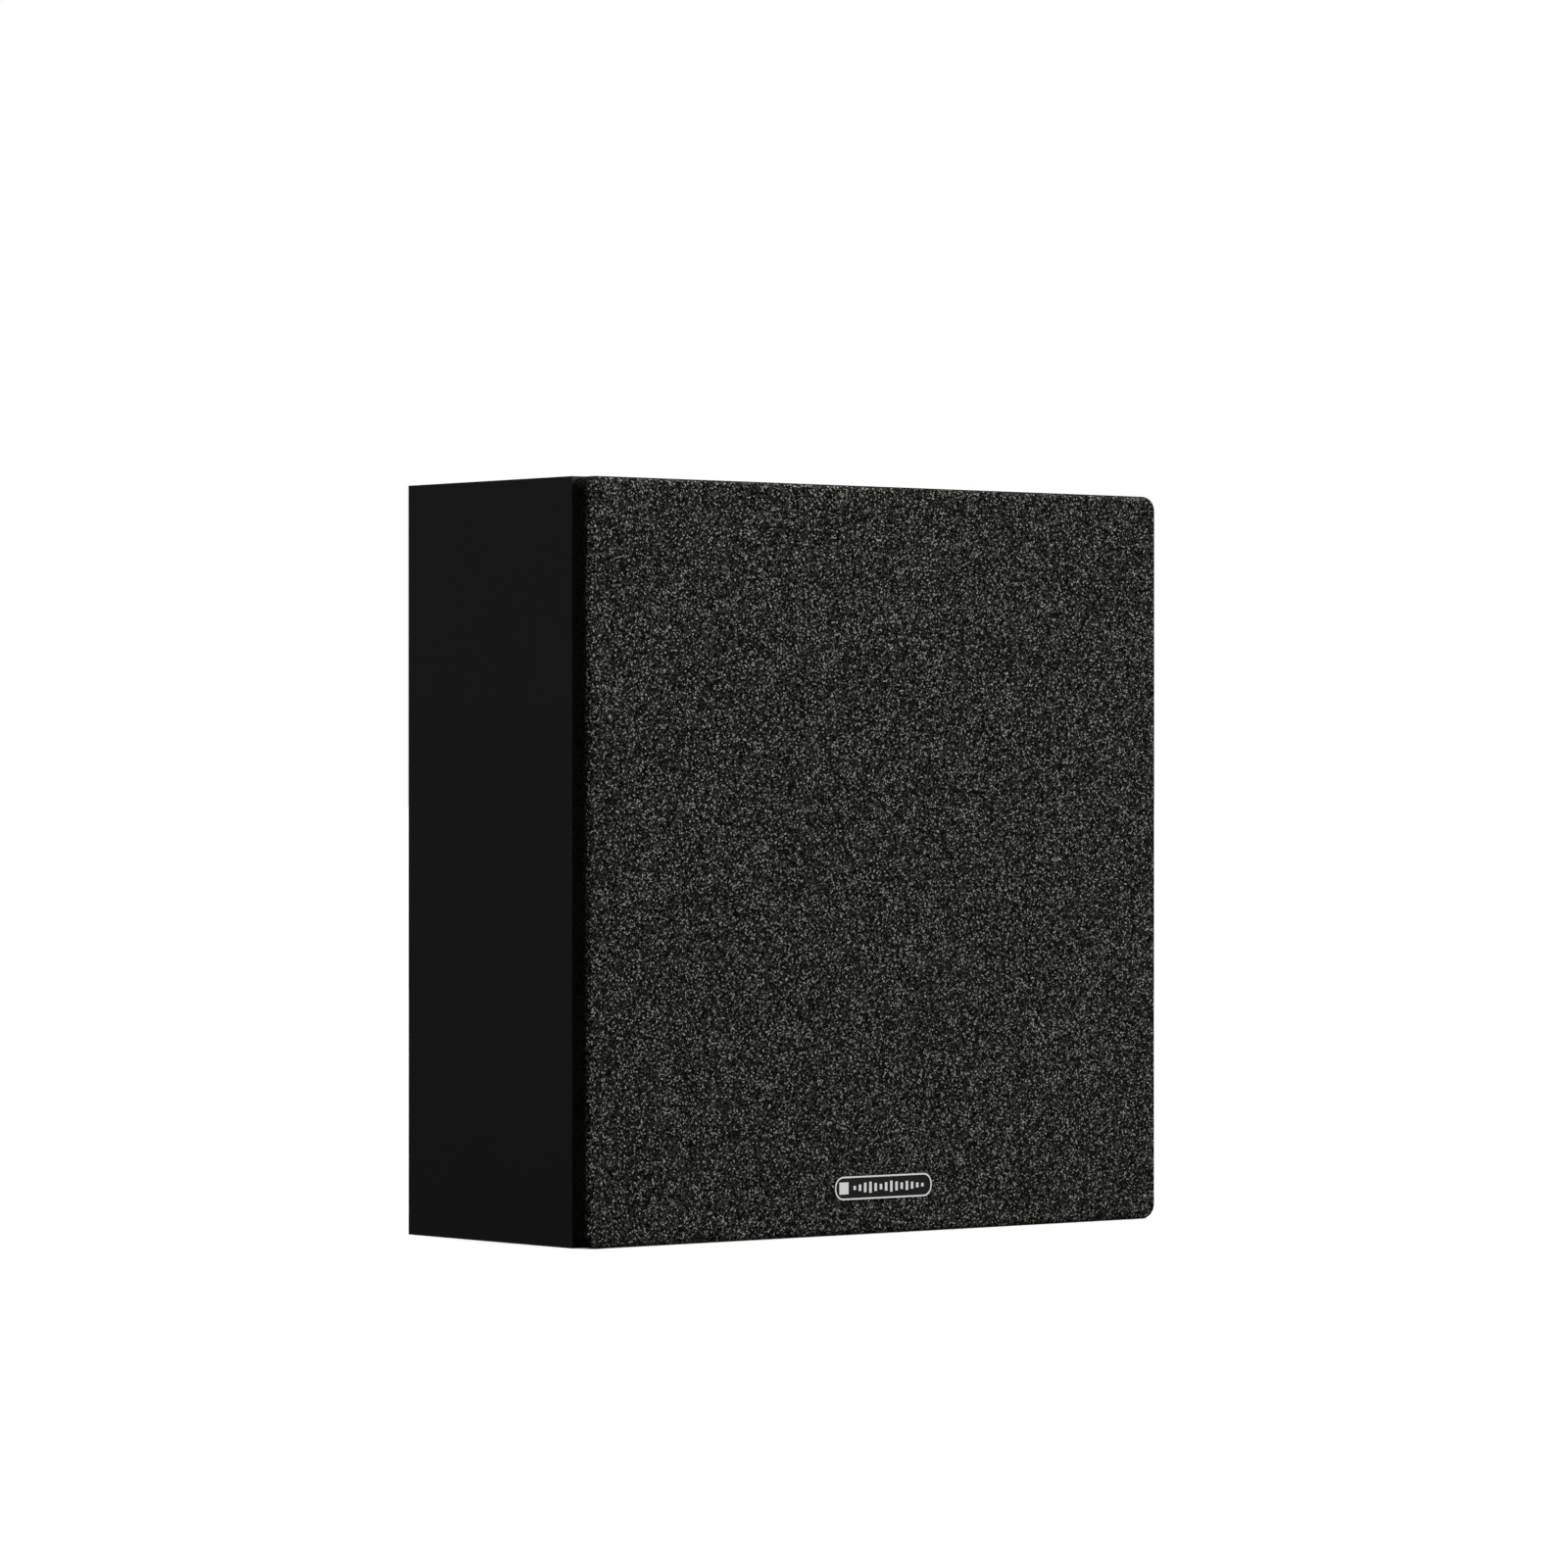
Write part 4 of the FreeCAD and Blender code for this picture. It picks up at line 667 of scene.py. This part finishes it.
def ring_places(count, radius, height, first):
    """Places evenly round a circle, the first one at the given angle in degrees."""
    turns = [math.radians(first + 360 * number / count) for number in range(count)]
    return [(radius * math.cos(turn), height + radius * math.sin(turn)) for turn in turns]


def corner_places(cad_node, head):
    """The four outer corners of a node's screws."""
    low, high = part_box(cad_node)
    return [(x, z) for x in (low.x + head, high.x - head) for z in (low.z + head, high.z - head)]


DRIVER_HEAD = 2.9 * MM
DRIVER_RISE = 1.9 * MM
DRIVER_SHANK = 1.8 * MM
SMALL_HEAD = 2.8 * MM
SMALL_RISE = 1.6 * MM
PLATE_RISE = 1.2 * MM
SMALL_SHANK = 1.5 * MM

phosphate = new_finish("phosphated_steel", (0.03, 0.03, 0.032), 0.42, metallic=0.85)
roughness_by(phosphate, noise(phosphate, 0.8 * MM, detail=3), "Fac", 0.32, 0.56)
screw_low, screw_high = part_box("woofer_screws")
woofer_circle = (screw_high.x - screw_low.x) / 2 - DRIVER_HEAD
woofer_places = ring_places(6, woofer_circle, woofer_height, 0)
screws("woofer_screws_crosshead", "woofer_screws", woofer_places, -1,
       DRIVER_HEAD, DRIVER_RISE, DRIVER_SHANK, phosphate)

plate_low, plate_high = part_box("tweeter_faceplate")
tweeter_height = (plate_low.z + plate_high.z) / 2
screw_low, screw_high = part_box("tweeter_screws")
tweeter_circle = ((screw_high.x - screw_low.x) / 2 - DRIVER_HEAD) * math.sqrt(2)
tweeter_places = ring_places(4, tweeter_circle, tweeter_height, 45)
screws("tweeter_screws_crosshead", "tweeter_screws", tweeter_places, -1,
       DRIVER_HEAD, DRIVER_RISE, DRIVER_SHANK, phosphate)

for cad_node, outward, rise in (("terminal_screws", 1, SMALL_RISE),
                                ("keyhole_screws", 1, PLATE_RISE),
                                ("crossover_screws", -1, SMALL_RISE)):
    screws(f"{cad_node}_crosshead", cad_node, corner_places(cad_node, SMALL_HEAD), outward,
           SMALL_HEAD, rise, SMALL_SHANK, zinc)

# ---------------------------------------------------------------- tweeter housing
# A moulded faceplate with a shallow flare, a pierced steel guard that snaps in over the dome, and a
# moulded chamber behind the motor.

dress(moulding, "tweeter_faceplate", "tweeter_rear_chamber")
dress(powder, "tweeter_guard")

# ---------------------------------------------------------------- tweeter dome and roll
# The dome is coated silk, with the coil glued to its edge. A roll of the same silk joins it to the
# faceplate, and the inner edge of the roll follows the dome.

SOFT_ROLL = 3.2 * MM
SOFT_EDGE = 2.7 * MM
SOFT_ROUND = 96
SOFT_STEPS = 16
SOFT_INSIDE_STEPS = 14
SILK = 0.35 * MM
DOME_CLOTH = 0.3 * MM
DOME_ROUND = 72
DOME_STEPS = 14

silk = new_finish("coated_silk", (0.016, 0.016, 0.018), 0.5, specular=0.45)
silk.node_tree.nodes["Principled BSDF"].inputs["Sheen Weight"].default_value = 0.2
silk_weave = cells(silk, 0.28 * MM)
raise_by(silk, silk_weave, "Distance", 0.05 * MM, 0.7)
roughness_by(silk, silk_weave, "Distance", 0.42, 0.62)
dome_low, dome_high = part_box("tweeter_dome")
dome_radius = (dome_high.x - dome_low.x) / 2
dome_rise = dome_high.y - dome_low.y
dome_sphere = (dome_radius ** 2 + dome_rise ** 2) / (2 * dome_rise)
dome_half = math.degrees(math.asin(dome_radius / dome_sphere))
dome_centre = dome_low.y + dome_sphere
dome_outline = (arc(0, dome_centre, dome_sphere, 90, 90 - dome_half, DOME_STEPS)
                + arc(0, dome_centre, dome_sphere - DOME_CLOTH, 90 - dome_half, 90, DOME_STEPS))
dome_bm = spun(dome_outline, tweeter_height, DOME_ROUND)
dome = to_object("tweeter_dome_silk", dome_bm, silk, "tweeter_moving")
smooth_by_angle(dome, 50)
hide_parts("tweeter_dome")

_, soft_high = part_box("tweeter_surround")
soft_plane = dome_high.y
soft_outer = dome_radius + SOFT_ROLL
soft_middle = dome_radius + SOFT_ROLL / 2
soft_outline = (
    [(soft_outer + SOFT_EDGE, soft_high.y), (soft_outer + SOFT_EDGE, soft_plane)]
    + arc(soft_middle, soft_plane, SOFT_ROLL / 2, 0, 180, SOFT_STEPS)
    + [(dome_radius, soft_high.y), (dome_radius + SILK, soft_high.y)]
    + arc(soft_middle, soft_plane, SOFT_ROLL / 2 - SILK, 180, 0, SOFT_INSIDE_STEPS)
    + [(soft_outer - SILK, soft_high.y)]
)
soft_bm = spun(soft_outline, tweeter_height, SOFT_ROUND)
soft_roll = to_object("tweeter_surround_roll", soft_bm, silk, None)
smooth_by_angle(soft_roll, 50)
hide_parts("tweeter_surround")
share_travel(soft_roll, "tweeter_moving", tweeter_height, dome_radius, soft_outer)

# ---------------------------------------------------------------- terminal cup and binding posts
# The cup is the same black moulding as the faceplate. The posts and washers are gold plated brass,
# and the fluted caps are red and black polycarbonate. A raised plus and minus sit over the posts.

dress(moulding, "terminal_cup")

gold = new_finish("gold_plate", (0.95, 0.66, 0.28), 0.2, metallic=1)
gold_turning = noise(gold, 0.6 * MM, detail=3)
roughness_by(gold, gold_turning, "Fac", 0.14, 0.28)
raise_by(gold, gold_turning, "Fac", 0.005 * MM, 0.3)
dress(gold, "binding_post_red", "binding_post_black", "binding_washer_red", "binding_washer_black")

for colour_name, colour in (("red", (0.42, 0.008, 0.01)), ("black", (0.012, 0.012, 0.013))):
    plastic = new_finish(f"cap_{colour_name}", colour, 0.28, coat=0.2)
    raise_by(plastic, noise(plastic, 0.5 * MM, detail=3), "Fac", 0.01 * MM, 0.4)
    roughness_by(plastic, noise(plastic, 3 * MM), "Fac", 0.22, 0.4)
    dress(plastic, f"binding_cap_{colour_name}")

SIGN_ARM = 5 * MM
SIGN_WIDTH = 1.2 * MM
SIGN_RISE = 0.5 * MM
SIGN_ROOT = 0.1 * MM
SIGN_ABOVE_MIDDLE = 15 * MM
CUP_DEPTH = 20 * MM

cup_low, cup_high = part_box("terminal_cup")
post_low, post_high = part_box("binding_post_black")
post_x = (post_low.x + post_high.x) / 2
cup_middle = (cup_low.z + cup_high.z) / 2
cup_floor = cup_high.y - CUP_DEPTH
signs_bm = bmesh.new()
sign_height = cup_middle + SIGN_ABOVE_MIDDLE
sign_stub = (SIGN_ARM - SIGN_WIDTH) / 2
for x, middle_height in ((-post_x, SIGN_ARM), (post_x, SIGN_WIDTH)):
    left = x - SIGN_ARM / 2
    for start, wide, tall in ((left, sign_stub, SIGN_WIDTH),
                              (left + sign_stub, SIGN_WIDTH, middle_height),
                              (left + sign_stub + SIGN_WIDTH, sign_stub, SIGN_WIDTH)):
        add_block(signs_bm, (start, cup_floor - SIGN_ROOT, sign_height - tall / 2),
                  (start + wide, cup_floor + SIGN_RISE, sign_height + tall / 2))
signs = to_object("terminal_signs", signs_bm, badge_print, "cabinet", smooth=False)

# ---------------------------------------------------------------- wall hangers
# Two keyhole plates of zinc plated steel, let in flush with the back board. Two screws hold each.
# The wall's screw heads go in at the round end.

dress(zinc, "keyhole_plates")

# ---------------------------------------------------------------- crossover
# A glass fibre board under green lacquer, on nylon standoffs. It carries two air-cored chokes, film
# capacitors in dark sleeves and sand-cast resistors.

lacquer = new_finish("board_lacquer", (0.01, 0.06, 0.025), 0.32, coat=0.2)
tracks = cells(lacquer, 6 * MM)
colour_by(lacquer, tracks, "Distance", [(0.35, (0.008, 0.045, 0.018)), (0.5, (0.02, 0.1, 0.04))])
raise_by(lacquer, tracks, "Distance", 0.03 * MM, 0.4)
dress(lacquer, "crossover_board")

choke_wire = winding("choke_wire", (0.6, 0.22, 0.08), 1.0 * MM)
dress(choke_wire, "crossover_chokes")

sleeve = new_finish("capacitor_sleeve", (0.03, 0.035, 0.05), 0.35, coat=0.1)
roughness_by(sleeve, noise(sleeve, 3 * MM), "Fac", 0.28, 0.44)
raise_by(sleeve, noise(sleeve, 1.2 * MM), "Fac", 0.03 * MM, 0.4)
dress(sleeve, "crossover_capacitors")

ceramic = new_finish("resistor_ceramic", (0.62, 0.6, 0.55), 0.8)
ceramic_grain = noise(ceramic, 0.5 * MM, detail=4)
colour_by(ceramic, ceramic_grain, "Fac", [(0.3, (0.55, 0.53, 0.48)), (0.7, (0.7, 0.68, 0.63))])
raise_by(ceramic, ceramic_grain, "Fac", 0.04 * MM, 0.5)
dress(ceramic, "crossover_resistors")

nylon = new_finish("nylon_natural", (0.7, 0.68, 0.6), 0.45)
roughness_by(nylon, noise(nylon, 2 * MM), "Fac", 0.38, 0.52)
dress(nylon, "crossover_standoffs")

# ---------------------------------------------------------------- leads
# Stranded copper in soft sheaths, soldered at both ends. Seen from the front, what runs left of the
# box's middle is red, and what runs right of it is black.

sheath = new_finish("lead_sheath", (0.02, 0.02, 0.02), 0.45)
side = node(sheath, "ShaderNodeSeparateXYZ")
join(sheath, place(sheath), "Object", side, "Vector")
is_right = reckon(sheath, "GREATER_THAN", side, "X", 0)
colour_by(sheath, is_right, "Value", [(0.0, (0.4, 0.01, 0.01)), (1.0, (0.012, 0.012, 0.012))])
raise_by(sheath, noise(sheath, 0.6 * MM), "Fac", 0.02 * MM, 0.4)
dress(sheath, "input_leads", "woofer_leads", "tweeter_leads")

# ---------------------------------------------------------------- wadding
# A slab of carded polyester fibre laid in behind the tweeter. It is soft at its edges and a little
# uneven.

WADDING_EDGE = 7 * MM
WADDING_SINK = 1.8 * MM
CUTS_ACROSS = 26
CUTS_UPRIGHT = 10

wadding_low, wadding_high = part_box("wadding_pad")
wadding_bm = block(wadding_low, wadding_high)
round_off(wadding_bm, wadding_bm.edges[:], WADDING_EDGE, 3)
for axis, cuts in ((0, CUTS_ACROSS), (2, CUTS_UPRIGHT)):
    bmesh.ops.subdivide_edges(wadding_bm, edges=edges_along(wadding_bm, axis), cuts=cuts,
                              use_grid_fill=True)
bmesh.ops.recalc_face_normals(wadding_bm, faces=wadding_bm.faces)
wadding_bm.normal_update()
random.seed(7)
for vertex in wadding_bm.verts:
    vertex.co -= vertex.normal * WADDING_SINK * random.random()
bmesh.ops.smooth_vert(wadding_bm, verts=wadding_bm.verts, factor=0.5,
                      use_axis_x=True, use_axis_y=True, use_axis_z=True)

fibre = new_finish("polyester_fibre", (0.72, 0.71, 0.68), 0.95, specular=0.2)
fibre.node_tree.nodes["Principled BSDF"].inputs["Sheen Weight"].default_value = 0.4
fibre_strands = noise(fibre, 2.2 * MM, detail=8, roughness=0.75)
colour_by(fibre, fibre_strands, "Fac", [(0.3, (0.52, 0.51, 0.48)), (0.65, (0.8, 0.79, 0.76))])
raise_by(fibre, fibre_strands, "Fac", 0.8 * MM, 0.8)
wadding = to_object("wadding_slab", wadding_bm, fibre, "cabinet")
softened = wadding.modifiers.new("softened", "SUBSURF")
softened.levels = 1
softened.render_levels = 1
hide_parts("wadding_pad")

# ---------------------------------------------------------------- room, light and camera
# A pale floor that glows a little, and an even white surround. A wide overhead light evens out the
# floor, and soft lamps in front, at the right, at the back and, very faintly, at the left shape the
# object.

FLOOR_REACH = 60
FLOOR_GLOW = 0.28
SURROUND_SEEN = 1.0
SURROUND_LIGHT = 0.06
SUN_SPREAD = 70
LAMPS_AIM = (0, 0, 0.15)
CAMERA_PLACE = (-1.7391, -2.09555, 0.1776)
CAMERA_LOOKS = (0.6379, 0.7701, 0)
CAMERA_LENS = 153.16
CAMERA_SENSOR = 36
CAMERA_SHIFT = 0.0046

floor_bm = bmesh.new()
bmesh.ops.create_grid(floor_bm, x_segments=1, y_segments=1, size=FLOOR_REACH)
floor_finish = new_finish("floor_pale", (0.9, 0.9, 0.9), 0.9, specular=0.1)
floor_shader = floor_finish.node_tree.nodes["Principled BSDF"]
floor_shader.inputs["Emission Color"].default_value = (1, 1, 1, 1)
floor_shader.inputs["Emission Strength"].default_value = FLOOR_GLOW
floor = to_object("floor", floor_bm, floor_finish, None, smooth=False)
floor.visible_glossy = False
floor.visible_diffuse = False

scene = bpy.context.scene
scene.view_settings.view_transform = "Standard"
world = bpy.data.worlds.new("surround")
world.use_nodes = True
scene.world = world
world_nodes = world.node_tree.nodes
seen_light = world_nodes["Background"]
seen_light.inputs["Color"].default_value = (1, 1, 1, 1)
seen_light.inputs["Strength"].default_value = SURROUND_SEEN
cast_light = world_nodes.new("ShaderNodeBackground")
cast_light.inputs["Color"].default_value = (1, 1, 1, 1)
cast_light.inputs["Strength"].default_value = SURROUND_LIGHT
path = world_nodes.new("ShaderNodeLightPath")
choice = world_nodes.new("ShaderNodeMixShader")
links = world.node_tree.links
links.new(path.outputs["Is Camera Ray"], choice.inputs[0])
links.new(cast_light.outputs[0], choice.inputs[1])
links.new(seen_light.outputs[0], choice.inputs[2])
links.new(choice.outputs[0], world_nodes["World Output"].inputs["Surface"])


def lamp(name, kind, position, target, power, size=0.0):
    """A soft light that faces a point."""
    data = bpy.data.lights.new(name, kind)
    data.energy = power
    if kind == "AREA":
        data.size = size
    else:
        data.angle = math.radians(SUN_SPREAD)
    made = bpy.data.objects.new(name, data)
    made.location = position
    made.rotation_euler = (Vector(target) - Vector(position)).to_track_quat("-Z", "Y").to_euler()
    scene.collection.objects.link(made)


lamp("overhead", "SUN", (0, 0, 5), (0, 0, 0), 3.7)
lamp("key", "AREA", (1.1, -2.6, 1.0), LAMPS_AIM, 52, size=1.8)
lamp("right", "AREA", (2.8, 0.6, 0.9), LAMPS_AIM, 26, size=1.6)
lamp("back", "AREA", (0.5, 2.9, 1.1), LAMPS_AIM, 52, size=1.8)
lamp("side", "AREA", (-2.0, 1.7, 0.2), LAMPS_AIM, 0.6, size=0.8)

camera_data = bpy.data.cameras.new("camera")
camera_data.lens = CAMERA_LENS
camera_data.sensor_width = CAMERA_SENSOR
camera_data.shift_y = CAMERA_SHIFT
camera = bpy.data.objects.new("camera", camera_data)
camera.location = CAMERA_PLACE
camera.rotation_euler = Vector(CAMERA_LOOKS).to_track_quat("-Z", "Y").to_euler()
scene.collection.objects.link(camera)
scene.camera = camera
